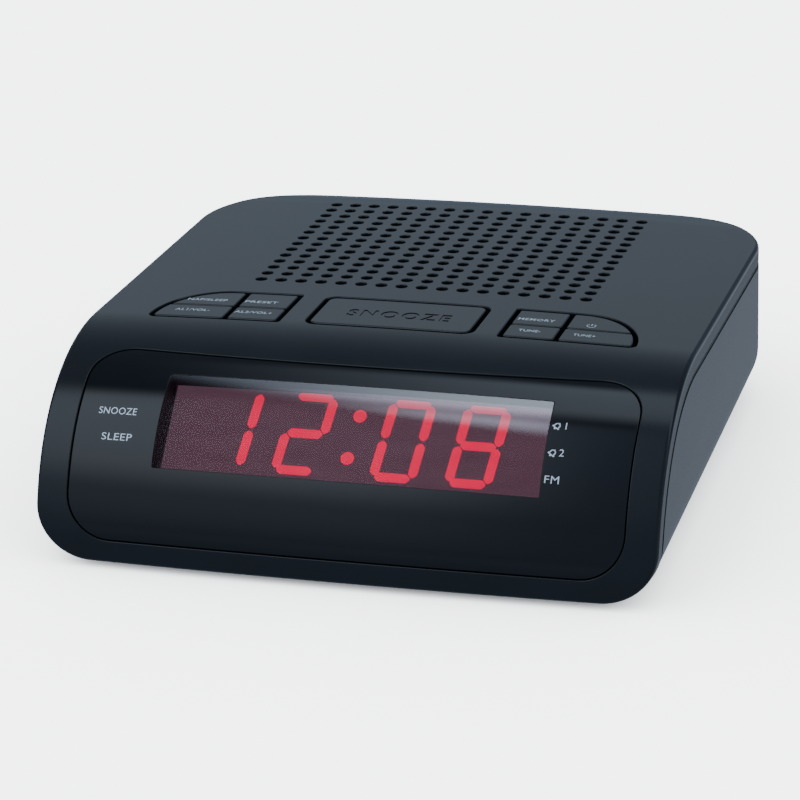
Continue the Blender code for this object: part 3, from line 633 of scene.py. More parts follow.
FINISHES = (  # name, colour, roughness, strength of the grain, what differs from plastic()'s usual
    ("cover_plastic", (0.0085, 0.0096, 0.0112), 0.18, 0.22, dict(specular=0.26)),
    ("rim_plastic", (0.0085, 0.0096, 0.0112), 0.40, 0.3, dict(specular=0.26)),
    ("cabinet_plastic", (0.0180, 0.0185, 0.0195), 0.38, 0.4, dict(specular=0.42)),
    ("key_plastic", (0.0064, 0.0070, 0.0078), 0.19, 0.15, dict(specular=0.33)),
    ("gloss_black", (0.0022, 0.0028, 0.0040), 0.07, 0.02,
     dict(specular=0.31, blotch=0.05, grain_scale=60.0, depth=0.3 * mm)),
    ("led_lit", (0.20, 0.003, 0.02), 0.5, 0.0, dict(specular=0.1)),
    ("led_face", (0.020, 0.006, 0.010), 0.7, 0.2, dict(specular=0.15)),
    ("window_wall", (0.012, 0.004, 0.007), 0.8, 0.2, {}),
    ("inner_plastic", (0.012, 0.012, 0.014), 0.6, 0.4, {}),
    ("circuit_board", (0.012, 0.09, 0.035), 0.35, 0.5, dict(grain_scale=900.0)),
    ("chip_plastic", (0.012, 0.012, 0.013), 0.5, 0.4, {}),
    ("bare_steel", (0.52, 0.52, 0.50), 0.3, 0.2,
     dict(metallic=1.0, grain_scale=1500.0, stretch=(1.0, 0.1, 1.0))),
    ("core_steel", (0.20, 0.20, 0.21), 0.45, 0.8,
     dict(metallic=1.0, grain_scale=2200.0, stretch=(1.0, 0.02, 0.02))),
    ("winding_tape", (0.55, 0.38, 0.06), 0.4, 0.5, dict(grain_scale=600.0)),
    ("cone_paper", (0.02, 0.02, 0.021), 0.85, 0.9, dict(grain_scale=1800.0)),
    ("magnet_ferrite", (0.035, 0.035, 0.037), 0.65, 0.8, dict(grain_scale=1200.0)),
    ("foam", (0.018, 0.018, 0.019), 0.95, 1.0, dict(depth=0.1 * mm, grain_scale=1500.0)),
    ("rubber", (0.014, 0.014, 0.015), 0.75, 0.8, dict(grain_scale=2000.0)),
    ("cable_grey", (0.35, 0.35, 0.36), 0.5, 0.6, dict(grain_scale=900.0, stretch=(1.0, 0.05, 0.05))),
    ("capacitor_sleeve", (0.012, 0.02, 0.10), 0.25, 0.2, {}),
    ("white_print", (0.66, 0.70, 0.74), 0.55, 0.3, dict(grain_scale=5000.0)),
    ("grey_print", (0.50, 0.54, 0.57), 0.6, 0.4, dict(grain_scale=6000.0)),
)
finishes = {name: plastic(name, *look, **more) for name, *look, more in FINISHES}
finishes["window_tint"] = lens_material()
glowing(finishes["led_lit"], (1.0, 0.0, 0.085), (1.0, 0.0, 0.10), 1.12)
# The display face is no lamp: its faint glow is painted light, partly the digits' light scattered in it,
# partly lifting the shade of the window's recess.
glowing(finishes["led_face"], (1.0, 0.80, 0.94), (1.0, 0.84, 0.98), 0.10, 60.0)


def paint_nodes():
    """Gives each solid the finish that the record names for it."""
    for row in frame["record"]["subparts"]:
        solid = frame["nodes"][row["node"]].data
        solid.materials.clear()
        solid.materials.append(finishes[row["material_slot"]])


def as_piece(obj, body, slot, *nodes):
    """Declares what a piece moves with and stands for; slot, the finish it would take, is not used."""
    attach(obj, body)
    if nodes:
        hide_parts(*nodes)
    return obj


# ---------------------------------------------------------------- cover, panel, window


def patch(half, top, bottom, back_corner, front_corner, turns, arch=0.0):
    """A round-cornered outline; top and bottom are lengths forwards from the arc's start."""
    loop = rounded_rectangle(-half, half, -bottom, -top, (front_corner, back_corner), turns)
    bent = []
    for u, v in subdivided(loop, 1.5 * mm):
        share = (v + bottom) / (bottom - top)
        bent.append((u, v + arch * share * (u / half) ** 2))
    return bent


def panel_loop():
    return patch(PANEL_HALF, PANEL_TOP, PANEL_BOTTOM, PANEL_CORNER, PANEL_CORNER, 12, PANEL_TOP_ARCH)


def window_loop():
    return patch(WINDOW_HALF, WINDOW_TOP, WINDOW_BOTTOM, WINDOW_CORNER, WINDOW_CORNER, 5)


def snooze_loop():
    return rounded_rectangle(-SNOOZE_HALF, SNOOZE_HALF, KEY_FRONT, KEY_BACK, SNOOZE_CORNER, 8)


def group_loop(side):
    """Four keys together: straight towards the middle, a quarter ellipse at the outer end."""
    loop = [(KEY_GROUP_INNER, KEY_FRONT), (KEY_GROUP_TIP - KEY_GROUP_NICK, KEY_FRONT)]
    reach = KEY_GROUP_TIP - KEY_GROUP_CURVE
    rise = KEY_BACK - KEY_FRONT - KEY_GROUP_NICK
    turns = 30
    for k in range(turns + 1):
        angle = pi / 2 * k / turns
        y = KEY_FRONT + KEY_GROUP_NICK + rise * sin(angle)
        loop.append((KEY_GROUP_CURVE + reach * cos(angle), y))
    loop.append((KEY_GROUP_INNER, KEY_BACK))
    return loop if side > 0 else [(-x, y) for x, y in reversed(loop)]


def grille_places():
    for column in range(GRILLE_COLUMNS):
        for row in range(GRILLE_ROWS):
            yield (column - (GRILLE_COLUMNS - 1) / 2) * GRILLE_PITCH, row * GRILLE_PITCH - ARC_START


def make_cover():
    body = Bent()
    outer = patch(HALF_WIDTH, ARC_START - BACK_EDGE, FACE_LENGTH, BACK_CORNER, FRONT_CORNER, 20)
    over = round_over(EDGE_ROUND, 7)
    rings = over + round_under(0.3 * mm, 3, 0, RIM) + [(WALL, RIM, None), (WALL, WALL, None)]
    outer_top, outer_under = body.edge(outer, rings, lined=len(over) - 1)
    tops, unders = [outer_top], [outer_under]
    holes = [(subdivided(panel_loop(), 1.5 * mm)[::-1], 0.2 * mm)]
    openings = [filleted(offset(group_loop(side), -KEY_GAP / 2), 0.9 * mm) for side in (-1, 1)]
    for opening in openings + [offset(snooze_loop(), -KEY_GAP / 2)]:
        holes.append((on_deck(subdivided(opening, 2 * mm))[::-1], 0.3 * mm))
    for place in grille_places():
        holes.append((circle(GRILLE_HOLE, 24, place)[::-1], 0.25 * mm))
    for loop, radius in holes:
        top, under = body.edge(loop, round_over(radius, 3) + [(0, WALL, pi / 2)])
        tops.append(top)
        unders.append(under)
    loops = [loop for _, loop in tops]
    grid = inner_grid(HALF_WIDTH - 3 * mm, -FACE_LENGTH + 1 * mm, -0.5 * mm, 4 * mm, 1.2 * mm, loops, 1 * mm)
    grid += inner_grid(HALF_WIDTH - 3 * mm, 1 * mm, BACK_EDGE - ARC_START - 1 * mm, 5 * mm, 5 * mm,
                       loops, 1.2 * mm)
    body.fill(tops, grid, 0)
    body.fill(unders, grid, WALL, facing=-1)
    cover = body.build("cover_shell", "cover_plastic", "rim_plastic")
    as_piece(cover, "housing", "cover_plastic", "top_cover")
    tongue = Bent()
    low, high = RIM + GROOVE - TONGUE_GAP, RIM + TONGUE_GAP
    first, last = tongue.edge(outer, [(TONGUE_INSET, high, None), (TONGUE_INSET, low, None),
                                      (WALL, low, None), (WALL, high, None)])
    tongue.strip(last[0], first[0])
    as_piece(tongue.build("case_tongue", "inner_plastic"), "housing", "inner_plastic")


def make_panel():
    body = Bent()
    outer = offset(panel_loop(), PANEL_CLEARANCE)
    rings = round_over(0.2 * mm, 4, 0, PANEL_SINK) + [(0, PANEL_BACK, pi / 2)]
    outer_top, outer_under = body.edge(outer, rings)
    window = window_loop()[::-1]
    over = round_over(0.1 * mm, 3, 0, PANEL_SINK)
    inner_top, inner_under = body.edge(window, over + [(0, PANEL_BACK, pi / 2)], lined=len(over) - 1)
    loops = [outer, window]
    grid = inner_grid(PANEL_HALF - 2 * mm, -PANEL_BOTTOM + 1 * mm, -PANEL_TOP + 1 * mm, 3 * mm, 1.1 * mm,
                      loops, 1 * mm)
    body.fill([outer_top, inner_top], grid, PANEL_SINK)
    body.fill([outer_under, inner_under], grid, PANEL_BACK, facing=-1)
    panel = body.build("panel_gloss", "gloss_black", "window_wall")
    as_piece(panel, "housing", "gloss_black", "front_panel")


def make_lens():
    body = Bent()
    outer = offset(window_loop(), 0.03 * mm)
    over = round_over(0.12 * mm, 3, 0, PANEL_SINK)
    top, under = body.edge(outer, over + [(0, LENS_BACK, pi / 2)], lined=len(over) - 1)
    grid = inner_grid(WINDOW_HALF - 1 * mm, -WINDOW_BOTTOM + 1 * mm, -WINDOW_TOP - 1 * mm,
                      3 * mm, 1.1 * mm, [outer], 0.7 * mm)
    body.fill([top], grid, PANEL_SINK)
    body.fill([under], grid, LENS_BACK, facing=-1)
    lens = body.build("window_lens", "window_tint", "window_wall")
    as_piece(lens, "housing", "window_tint", "display_window")


# ---------------------------------------------------------------- the display

DIGIT_MIDDLE = 2.0 * mm  # above the middle of the module's face
COLON_AT = -1.15 * mm
DIGIT_PLACES = (-27.4 * mm, -10.9 * mm, 10.9 * mm, 27.4 * mm)  # from the colon
DIGIT_HALF_WIDTH = 4.2 * mm  # to the middle of the bars
DIGIT_HALF_HEIGHT = 8.7 * mm
DIGIT_LEAN = 0.104
BAR_WIDTH = 2.1 * mm
BAR_GAP = 0.30 * mm
BAR_RELIEF = 0.05 * mm
COLON_HEIGHT = 5.0 * mm
COLON_RADIUS = 1.5 * mm
TIME_SHOWN = "12:08"
BARS = {  # between (right, up) places of a digit's six corners
    "a": ((-1, 1), (1, 1)), "b": ((1, 1), (1, 0)), "c": ((1, 0), (1, -1)), "d": ((-1, -1), (1, -1)),
    "e": ((-1, 0), (-1, -1)), "f": ((-1, 1), (-1, 0)), "g": ((-1, 0), (1, 0)),
}
LIT = {"0": "abcdef", "1": "bc", "2": "abdeg", "8": "abcdefg"}


def display_place():
    """The frame of the display: its origin on the skin at the window's middle, Z out through it."""
    top, bottom = skin(0, -WINDOW_TOP), skin(0, -WINDOW_BOTTOM)
    up = (top - bottom).normalized()
    middle = skin(0, -(WINDOW_TOP + WINDOW_BOTTOM) / 2)
    return DECK @ Matrix.Translation(middle) @ Matrix.Rotation(atan2(up.z, up.y), 4, "X")


def bar_outline(start, end):
    """A bar with mitred ends, a little blunted, between two corners of a digit."""
    start, end = Vector(start), Vector(end)
    along = (end - start).normalized()
    side = Vector((-along.y, along.x)) * BAR_WIDTH / 2
    tip = side * 0.25
    start += along * BAR_GAP
    end -= along * BAR_GAP
    shoulder = along * BAR_WIDTH * 0.375
    points = [start + tip, start - tip, start + shoulder - side, end - shoulder - side,
              end - tip, end + tip, end - shoulder + side, start + shoulder + side]
    return filleted([tuple(p) for p in points], 0.3 * mm, 4)


def plate(bm, outline, low, high):
    """A flat plate in a mesh of several."""
    rings = [[bm.verts.new((x, y, z)) for x, y in outline] for z in (low, high)]
    bm.faces.new(rings[0])
    bm.faces.new(rings[1])
    count = len(outline)
    for i in range(count):
        j = (i + 1) % count
        bm.faces.new((rings[0][i], rings[0][j], rings[1][j], rings[1][i]))


def make_digits():
    bm = bmesh.new()
    low = -DISPLAY_DEPTH + 0.01 * mm
    high = low + BAR_RELIEF

    def leaning(x, y):
        return x + DIGIT_LEAN * y, DIGIT_MIDDLE + y

    for place, digit in zip(DIGIT_PLACES, TIME_SHOWN.replace(":", "")):
        middle = COLON_AT + place
        for bar in LIT[digit]:
            ends = [
                leaning(middle + right * DIGIT_HALF_WIDTH, up * DIGIT_HALF_HEIGHT)
                for right, up in BARS[bar]
            ]
            plate(bm, bar_outline(*ends), low, high)
    for up in (-1, 1):
        x, y = leaning(COLON_AT, up * COLON_HEIGHT)
        plate(bm, circle(COLON_RADIUS, 28, (x, y)), low, high)
    digits = add_mesh("led_digits", bm, "led_lit", display_place())
    as_piece(digits, "housing", "led_face")


# ---------------------------------------------------------------- lettering

PRINT_RELIEF = 0.02 * mm


def text_mesh(words, height, width, bold=0.0, spacing=1.06):
    """Letters as a closed mesh, centred, with capitals of the given height; width 0 is as it comes."""
    curve = bpy.data.curves.new("words", "FONT")
    curve.body = words
    curve.align_x = "LEFT"
    curve.resolution_u = 6
    curve.size = 1.0
    curve.offset = bold
    curve.extrude = 0.5
    curve.space_character = spacing
    obj = placed("words", curve)
    graph = bpy.context.evaluated_depsgraph_get()
    mesh = bpy.data.meshes.new_from_object(obj.evaluated_get(graph))
    bpy.data.objects.remove(obj)
    co = numpy.array([v.co for v in mesh.vertices])
    low, high = co.min(axis=0), co.max(axis=0)
    scale_y = height / (high[1] - low[1])
    scale_x = width / (high[0] - low[0]) if width else scale_y
    middle = (low + high) / 2
    mesh.transform(
        Matrix.Diagonal((scale_x, scale_y, PRINT_RELIEF, 1)) @ Matrix.Translation(-Vector(middle)))
    return mesh


def bent_piece(name, mesh, at, finish, depth, body, slot):
    """Lays a small flat mesh on the skin, standing just out of it."""
    for vertex in mesh.vertices:
        flat = vertex.co
        vertex.co = skin(at[0] + flat.x, at[1] + flat.y, depth - flat.z)
    mesh.transform(DECK)
    mesh.materials.clear()
    mesh.materials.append(finishes[finish])
    as_piece(placed(name, mesh), body, slot)


def icon_mesh(outlines):
    """Flat plates as one small mesh, on both sides of z = 0."""
    bm = bmesh.new()
    for outline in outlines:
        plate(bm, outline, -PRINT_RELIEF / 2, PRINT_RELIEF / 2)
    bmesh.ops.recalc_face_normals(bm, faces=bm.faces[:])
    mesh = bpy.data.meshes.new("icon")
    bm.to_mesh(mesh)
    bm.free()
    return mesh


def stroke(points, width):
    """Outlines of short quads that follow a line of the given width."""
    quads = []
    for a, b in zip(points, points[1:]):
        a, b = Vector(a), Vector(b)
        along = (b - a).normalized() * width * 0.12
        side = Vector((b.y - a.y, a.x - b.x)).normalized() * width / 2
        quads.append([tuple(p) for p in (a - along + side, b + along + side, b + along - side,
                                         a - along - side)])
    return quads


def bell_outlines(size):
    """A tilted alarm bell with its clapper."""
    dome = [(0.42 * cos(a), 0.05 + 0.42 * sin(a)) for a in numpy.linspace(0, pi, 15)]
    line = [(0.62, -0.42), (0.42, -0.2)] + dome + [(-0.42, -0.2), (-0.62, -0.42)]
    parts = stroke(line + [line[0]], 0.2)
    parts.append(circle(0.17, 12, (0, -0.62)))
    parts.append([(-0.07, 0.45), (0.07, 0.45), (0.07, 0.68), (-0.07, 0.68)])
    tilt = radians(-35)
    return [
        [((x * cos(tilt) - y * sin(tilt)) * size, (x * sin(tilt) + y * cos(tilt)) * size) for x, y in part]
        for part in parts
    ]


def power_outlines(size):
    """A ring open at the top, with an upright in the gap."""
    ring = [(sin(a), cos(a)) for a in numpy.linspace(radians(38), radians(322), 25)]
    parts = stroke([(x * size, y * size) for x, y in ring], size * 0.3)
    parts += stroke([(0, 0.15 * size), (0, 1.2 * size)], size * 0.3)
    return parts


PANEL_PRINT = [  # name, words, middle across, length down the face, width (0: as it comes)
    ("print_snooze", "SNOOZE", -52.2, 35.1, 8.6), ("print_sleep", "SLEEP", -51.35, 41.2, 6.9),
    ("print_alarm_1", "1", 46.1, 30.9, 0.0), ("print_alarm_2", "2", 46.1, 37.3, 0.0),
    ("print_fm", "FM", 44.8, 43.4, 3.1),
]
PANEL_PRINT_HEIGHT = 1.65 * mm
BELLS = {"print_bell_1": (44.2, 31.0), "print_bell_2": (44.2, 37.4)}
KEY_CAPTIONS = [  # key, words, middle (x, y) on the deck, width
    ("sleep", "NAP/SLEEP", -45.3, -16.9, 9.2), ("preset", "PRESET", -32.6, -16.9, 7.6),
    ("volume_down", "AL1/VOL-", -46.4, -24.4, 8.0), ("volume_up", "AL2/VOL+", -32.2, -24.4, 8.6),
    ("memory", "MEMORY", 30.6, -16.9, 8.2), ("tuning_down", "TUNE-", 30.8, -24.6, 4.9),
    ("tuning_up", "TUNE+", 43.0, -24.8, 4.9),
]
CAPTION_HEIGHT = 1.45 * mm


def make_print():
    lift = 0.005 * mm
    for name, words, across, down, width in PANEL_PRINT:
        mesh = text_mesh(words, PANEL_PRINT_HEIGHT, width * mm)
        at = (across * mm, -down * mm)
        bent_piece(name, mesh, at, "white_print", PANEL_SINK - lift, "housing", "gloss_black")
    for name, (across, down) in BELLS.items():
        at = (across * mm, -down * mm)
        mesh = icon_mesh(bell_outlines(1.3 * mm))
        bent_piece(name, mesh, at, "white_print", PANEL_SINK - lift, "housing", "gloss_black")
    for key, words, x, y, width in KEY_CAPTIONS:
        mesh = text_mesh(words, CAPTION_HEIGHT, width * mm, bold=0.01)
        at = (x * mm, y * mm - ARC_START)
        bent_piece("caption_" + key, mesh, at, "grey_print", -lift, key + "_key", "key_plastic")
    mesh = icon_mesh(power_outlines(0.95 * mm))
    at = (43.1 * mm, -18.0 * mm - ARC_START)
    bent_piece("caption_power", mesh, at, "grey_print", -lift, "power_key", "key_plastic")


# ---------------------------------------------------------------- keys

SNOOZE_WORD = "SNOOZE"
SNOOZE_LETTER = 4.6 * mm
SNOOZE_WIDTH = 23.4 * mm
SNOOZE_WORD_AT = (0.3 * mm, -20.5 * mm)
DEBOSS = 0.14 * mm


def key_layout():
    """Each key's name and cap outline, in the deck's frame."""
    layout = [("snooze", offset(snooze_loop(), KEY_GAP / 2))]
    names = {  # by (outer column, front row)
        -1: {(0, 1): "volume_up", (1, 1): "volume_down", (0, 0): "preset", (1, 0): "sleep"},
        1: {(0, 1): "tuning_down", (1, 1): "tuning_up", (0, 0): "memory", (1, 0): "power"},
    }
    for side in (-1, 1):
        whole = offset(group_loop(side), KEY_GAP / 2)
        for (outer, in_front), name in names[side].items():
            beyond = (outer == 1) == (side > 0)
            line = side * KEY_COLUMN_LINE + (KEY_GAP / 2 if beyond else -KEY_GAP / 2)
            row_line = KEY_ROW_LINE + (-KEY_ROW_GAP / 2 if in_front else KEY_ROW_GAP / 2)
            cap = clip(clip(whole, 0, line, beyond), 1, row_line, not in_front)
            layout.append((name, filleted(cap, 0.7 * mm)))
    return layout


def letter_loops(words, height, width, at):
    """The outlines of letters, in (u, v); counters run the other way from the letters round them."""
    mesh = text_mesh(words, height, width, bold=0.028, spacing=1.3)
    bm = bmesh.new()
    bm.from_mesh(mesh)
    top = max(v.co.z for v in bm.verts)
    bmesh.ops.remove_doubles(bm, verts=bm.verts[:], dist=1e-7)
    faces = [f for f in bm.faces if all(abs(v.co.z - top) < 1e-7 for v in f.verts)]
    ahead = {}
    inside = set(faces)
    for face in faces:
        for loop in face.loops:
            if not any(f in inside and f is not face for f in loop.edge.link_faces):
                ahead[loop.vert] = loop.link_loop_next.vert
    loops = []
    while ahead:
        start = next(iter(ahead))
        here, loop = start, []
        while here in ahead:
            loop.append((here.co.x + at[0], here.co.y + at[1]))
            here = ahead.pop(here)
        loops.append(loop)
    bm.free()
    return loops


def make_keys():
    for name, cap in key_layout():
        body = Bent()
        loop = on_deck(subdivided(cap, 1.6 * mm))
        middle = [(min(p[k] for p in loop) + max(p[k] for p in loop)) / 2 for k in (0, 1)]
        rings = round_over(0.35 * mm, 4) + [(0, KEY_DEPTH, pi / 2)]
        top, (under, _) = body.edge(loop, rings)
        half = max(abs(u - middle[0]) for u, _ in loop)
        low, high = min(v for _, v in loop), max(v for _, v in loop)
        stem_loop = [tuple(m + (p - m) * 0.28 for p, m in zip(point, middle)) for point in loop]
        end = KEY_STEM_END + min(skin(u, v).z for u, v in stem_loop)  # clear of the switch when pressed
        stem, stem_end = body.ring(stem_loop, KEY_DEPTH), body.ring(stem_loop, end)
        body.strip(under, stem)
        body.strip(stem, stem_end)
        body.fill([(stem_end, stem_loop)], [], end, facing=-1)
        tops = [top]
        if name == "snooze":
            at = (SNOOZE_WORD_AT[0], SNOOZE_WORD_AT[1] - ARC_START)
            floors = []
            for letter in letter_loops(SNOOZE_WORD, SNOOZE_LETTER, SNOOZE_WIDTH, at):
                letter = letter[::-1]
                upper, lower = body.ring(letter, 0), body.ring(letter, DEBOSS)
                body.strip(upper, lower)
                tops.append((upper, letter))
                floors.append((lower, letter))
            body.fill(floors, [], DEBOSS)
        grid = inner_grid(half, low, high, 3 * mm, 2 * mm, [loop for _, loop in tops], 0.8 * mm)
        grid = [(u + middle[0], v) for u, v in grid] if name != "snooze" else grid
        body.fill(tops, clear_of(grid, loop), 0)
        as_piece(body.build(name + "_cap", "key_plastic"), name + "_key", "key_plastic", name + "_key")


def clear_of(grid, loop):
    """The grid's points that keep clear of a loop."""
    border = numpy.array(loop)
    return [p for p in grid if ((border - p) ** 2).sum(axis=1).min() > (0.8 * mm) ** 2]


# ---------------------------------------------------------------- cabinet


def tub_outline(draw):
    front, turns = -80 * mm, 20
    half = HALF_WIDTH - draw
    back = BACK_EDGE - CABINET_INSET - draw
    corner = BACK_CORNER - draw
    points = [(-half, front), (half, front)]
    for k in range(turns + 1):
        angle = radians(90 * k / turns)
        points.append((half - corner + corner * cos(angle), back - corner + corner * sin(angle)))
    return points + [(-x, y) for x, y in reversed(points[2:])]


def tub(name, inset):
    """The cabinet's solid outside, or with an inset the hollow in it, square at the front."""
    rings, steps = [], 14
    for k in range(steps + 1):
        angle = radians(90 * k / steps)
        draw = inset + max(BASE_ROUND - inset, 0) * (1 - sin(angle))
        lift = inset + max(BASE_ROUND - inset, 0) * (1 - cos(angle))
        rings.append(level(tub_outline(draw), BASE_LEVEL + lift))
    rings.append(level(tub_outline(inset), DECK_HEIGHT + 10 * mm))
    return loft(name, rings)


def beneath(name, depth):
    """Everything below the surface that lies depth under the skin."""
    turns, columns, rolls = 48, 24, 8
    rolled = BACK_EDGE - BACK_ROLL_START
    vs = [BACK_EDGE - ARC_START + 4 * mm - (rolled + 4 * mm) * k / rolls for k in range(rolls + 1)]
    vs += [-FACE_LENGTH * k / turns for k in range(turns + 1)]
    rings = []
    for k in range(columns + 1):
        u = (HALF_WIDTH + 6 * mm) * (2 * k / columns - 1)
        ring = [skin(u, v, depth) for v in vs]
        ring.append(Vector((u, ring[-1].y, -70 * mm)))
        ring.append(Vector((u, ring[0].y, -70 * mm)))
        rings.append(ring)
    return loft(name, rings, place=DECK)


def at(x, y, z=0.0):
    return WORLD @ Matrix.Translation((x, y, z))


def make_cabinet():
    cabinet = tub("cabinet_shell", 0)
    combine(cabinet, beneath("below_parting", RIM + GROOVE), "INTERSECT")
    cut(cabinet, tub("hollow", WALL))
    floor = BASE_LEVEL + WALL
    for x, y in SCREW_PLACES.values():
        combine(cabinet, turned("post", [(4.6 * mm, floor - 1 * mm), (4.6 * mm, 20 * mm)], 28,
                                place=at(x, y)), "UNION")
        cut(cabinet, turned("screw_hole", [
            (3.6 * mm, BASE_LEVEL - 0.3 * mm), (3.3 * mm, BASE_LEVEL + 0.4 * mm), (3.3 * mm, SCREW_SEAT),
            (1.7 * mm, SCREW_SEAT), (1.7 * mm, 22 * mm)], 28, place=at(x, y)))
    for x, y in FOOT_PLACES.values():
        pocket = FOOT_RADIUS + GAP
        cut(cabinet, turned("pocket", [(pocket, 0), (pocket, BASE_LEVEL + FOOT_SINK)], 48, place=at(x, y)))
    make_bay(cabinet)
    for name, hole in GLAND_HOLES.items():
        low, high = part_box(name)
        middle = (low + high) / 2
        place = Matrix.Translation((middle.x, high.y, middle.z)) @ Matrix.Rotation(pi / 2, 4, "X")
        cut(cabinet, turned("gland_hole", [(hole, -2 * mm), (hole, 12 * mm)], 32, place=place))
    as_piece(finished(cabinet, "cabinet_plastic"), "housing", "cabinet_plastic", "bottom_cabinet")


def make_bay(cabinet):
    def box(name, grow, z0, z1):
        half = BAY_HALF + grow
        return block(name, -half, half, BAY_FRONT - grow, BAY_BACK + grow, z0, z1)

    recess = BASE_LEVEL + DOOR_THICKNESS + GAP
    walls = box("bay_walls", BAY_LEDGE + BAY_WALL, BASE_LEVEL + 1 * mm, BAY_CEILING + BAY_WALL)
    combine(cabinet, walls, "UNION")
    cut(cabinet, box("door_recess", BAY_LEDGE, -1 * mm, recess))
    cut(cabinet, box("bay_hollow", 0, 0, BAY_CEILING))


def make_door():
    """The battery door: rounded corners, a soft edge, grip ribs and an arrow."""
    low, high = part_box("battery_door")
    outline = rounded_rectangle(low.x, high.x, low.y, high.y, 1.2 * mm, 6)
    thin = 0.35 * mm
    rings = [level(offset(outline, thin * (1 - sin(a))), low.z + thin * (1 - cos(a)))
             for a in [radians(22.5 * k) for k in range(5)]]
    rings.append(level(outline, high.z))
    door = loft("door_shell", rings, place=Matrix.Identity(4))

    def engrave(shape, depth):
        sides = [level(shape, low.z - 1 * mm), level(shape, low.z + depth)]
        cut(door, loft("engraving", sides, place=Matrix.Identity(4)))

    back = high.y - 2.2 * mm
    for k in range(5):
        y = back - k * 1.5 * mm
        groove = rounded_rectangle(-7 * mm, 7 * mm, y - 0.35 * mm, y + 0.35 * mm, 0.34 * mm, 4)
        engrave(groove, 0.45 * mm)
    tip = back - 9 * mm
    arrow = [(0, tip - 3.2 * mm), (2.4 * mm, tip), (0.8 * mm, tip), (0.8 * mm, tip + 2.4 * mm),
             (-0.8 * mm, tip + 2.4 * mm), (-0.8 * mm, tip), (-2.4 * mm, tip)]
    engrave(arrow, 0.3 * mm)
    as_piece(finished(door, "cabinet_plastic"), "battery_door", "cabinet_plastic", "battery_door")


def make_feet():
    top = BASE_LEVEL + FOOT_SINK - GAP
    profile = [(0.4 * mm, 0.35 * mm), (3.6 * mm, 0.35 * mm), (3.9 * mm, 0.08 * mm), (4.2 * mm, 0),
               (FOOT_RADIUS - 0.7 * mm, 0), (FOOT_RADIUS - 0.3 * mm, 0.1 * mm),
               (FOOT_RADIUS - 0.06 * mm, 0.35 * mm), (FOOT_RADIUS, 0.7 * mm), (FOOT_RADIUS, top)]
    for name, (x, y) in FOOT_PLACES.items():
        foot = turned(name + "_pad", profile, 56, "rubber", at(x, y))
        as_piece(foot, "housing", "rubber", name)


def make_screws():
    """Pan heads with a cross recess, at the bottom of their wells."""
    head = 2.8 * mm
    low = SCREW_SEAT - 2.3 * mm
    profile = [(0.6 * mm, low), (1.6 * mm, low + 0.15 * mm), (2.3 * mm, low + 0.55 * mm),
               (head, low + 1.2 * mm), (head, SCREW_SEAT - GAP), (1.4 * mm, SCREW_SEAT - GAP),
               (1.4 * mm, 28 * mm), (0.4 * mm, 29.5 * mm)]
    for name, (x, y) in SCREW_PLACES.items():
        screw = turned(name + "_head", profile, 32, place=at(x, y))
        for half_x, half_y in ((1.5 * mm, 0.35 * mm), (0.35 * mm, 1.5 * mm)):
            cut(screw, block("slot", -half_x, half_x, -half_y, half_y, low - 1 * mm, low + 0.9 * mm,
                             place=at(x, y)))
        as_piece(finished(screw, "bare_steel"), "housing", "bare_steel", name)


def make_glands():
    """Rubber bushings with a rounded collar and a groove round it."""
    for name, hole in GLAND_HOLES.items():
        low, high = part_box(name)
        middle = (low + high) / 2
        flange = (high.x - low.x) / 2
        wire = 2.2 * mm if name == "cord_gland" else 0.8 * mm
        reach = 2.6 * mm
        depth = -(high.y - low.y) + reach
        profile = [
            (wire, reach - 0.3 * mm), (wire + 0.3 * mm, reach), (flange - 1.4 * mm, reach),
            (flange - 0.8 * mm, reach - 0.15 * mm), (flange - 0.3 * mm, reach - 0.6 * mm),
            (flange, 1.4 * mm), (flange, 1.1 * mm), (flange - 0.25 * mm, 1.0 * mm),
            (flange - 0.25 * mm, 0.8 * mm), (flange, 0.7 * mm), (flange, GAP), (hole - GAP, GAP),
            (hole - GAP, depth), (wire, depth),
        ]
        place = Matrix.Translation((middle.x, high.y - reach, middle.z)) @ Matrix.Rotation(-pi / 2, 4, "X")
        gland = turned(name + "_bush", profile, 48, "rubber", place, hollow=True)
        as_piece(gland, "housing", "rubber", name)


# ---------------------------------------------------------------- studio

CAMERA_TARGET = Vector((-0.00604, 0.0, 0.01385))
CAMERA_AZIMUTH = radians(15.95)  # to the right of straight in front
CAMERA_ELEVATION = radians(21.82)
CAMERA_DISTANCE = 0.79794
CAMERA_ROLL = radians(1.952)
CAMERA_LENS = 156.5  # millimetres, on a 36 mm sensor


def make_camera():
    data = bpy.data.cameras.new("camera")
    data.lens = CAMERA_LENS
    data.sensor_width = 36.0
    data.clip_start = 0.01
    camera = placed("camera", data)
    towards = Vector((
        sin(CAMERA_AZIMUTH) * cos(CAMERA_ELEVATION), -cos(CAMERA_AZIMUTH) * cos(CAMERA_ELEVATION),
        sin(CAMERA_ELEVATION)))
    target = CAMERA_TARGET + Vector((0, SHIFT, 0))
    aim = towards.to_track_quat("Z", "Y").to_matrix().to_4x4()
    place = Matrix.Translation(target + towards * CAMERA_DISTANCE)
    camera.matrix_world = place @ aim @ Matrix.Rotation(-CAMERA_ROLL, 4, "Z")
    bpy.context.scene.camera = camera


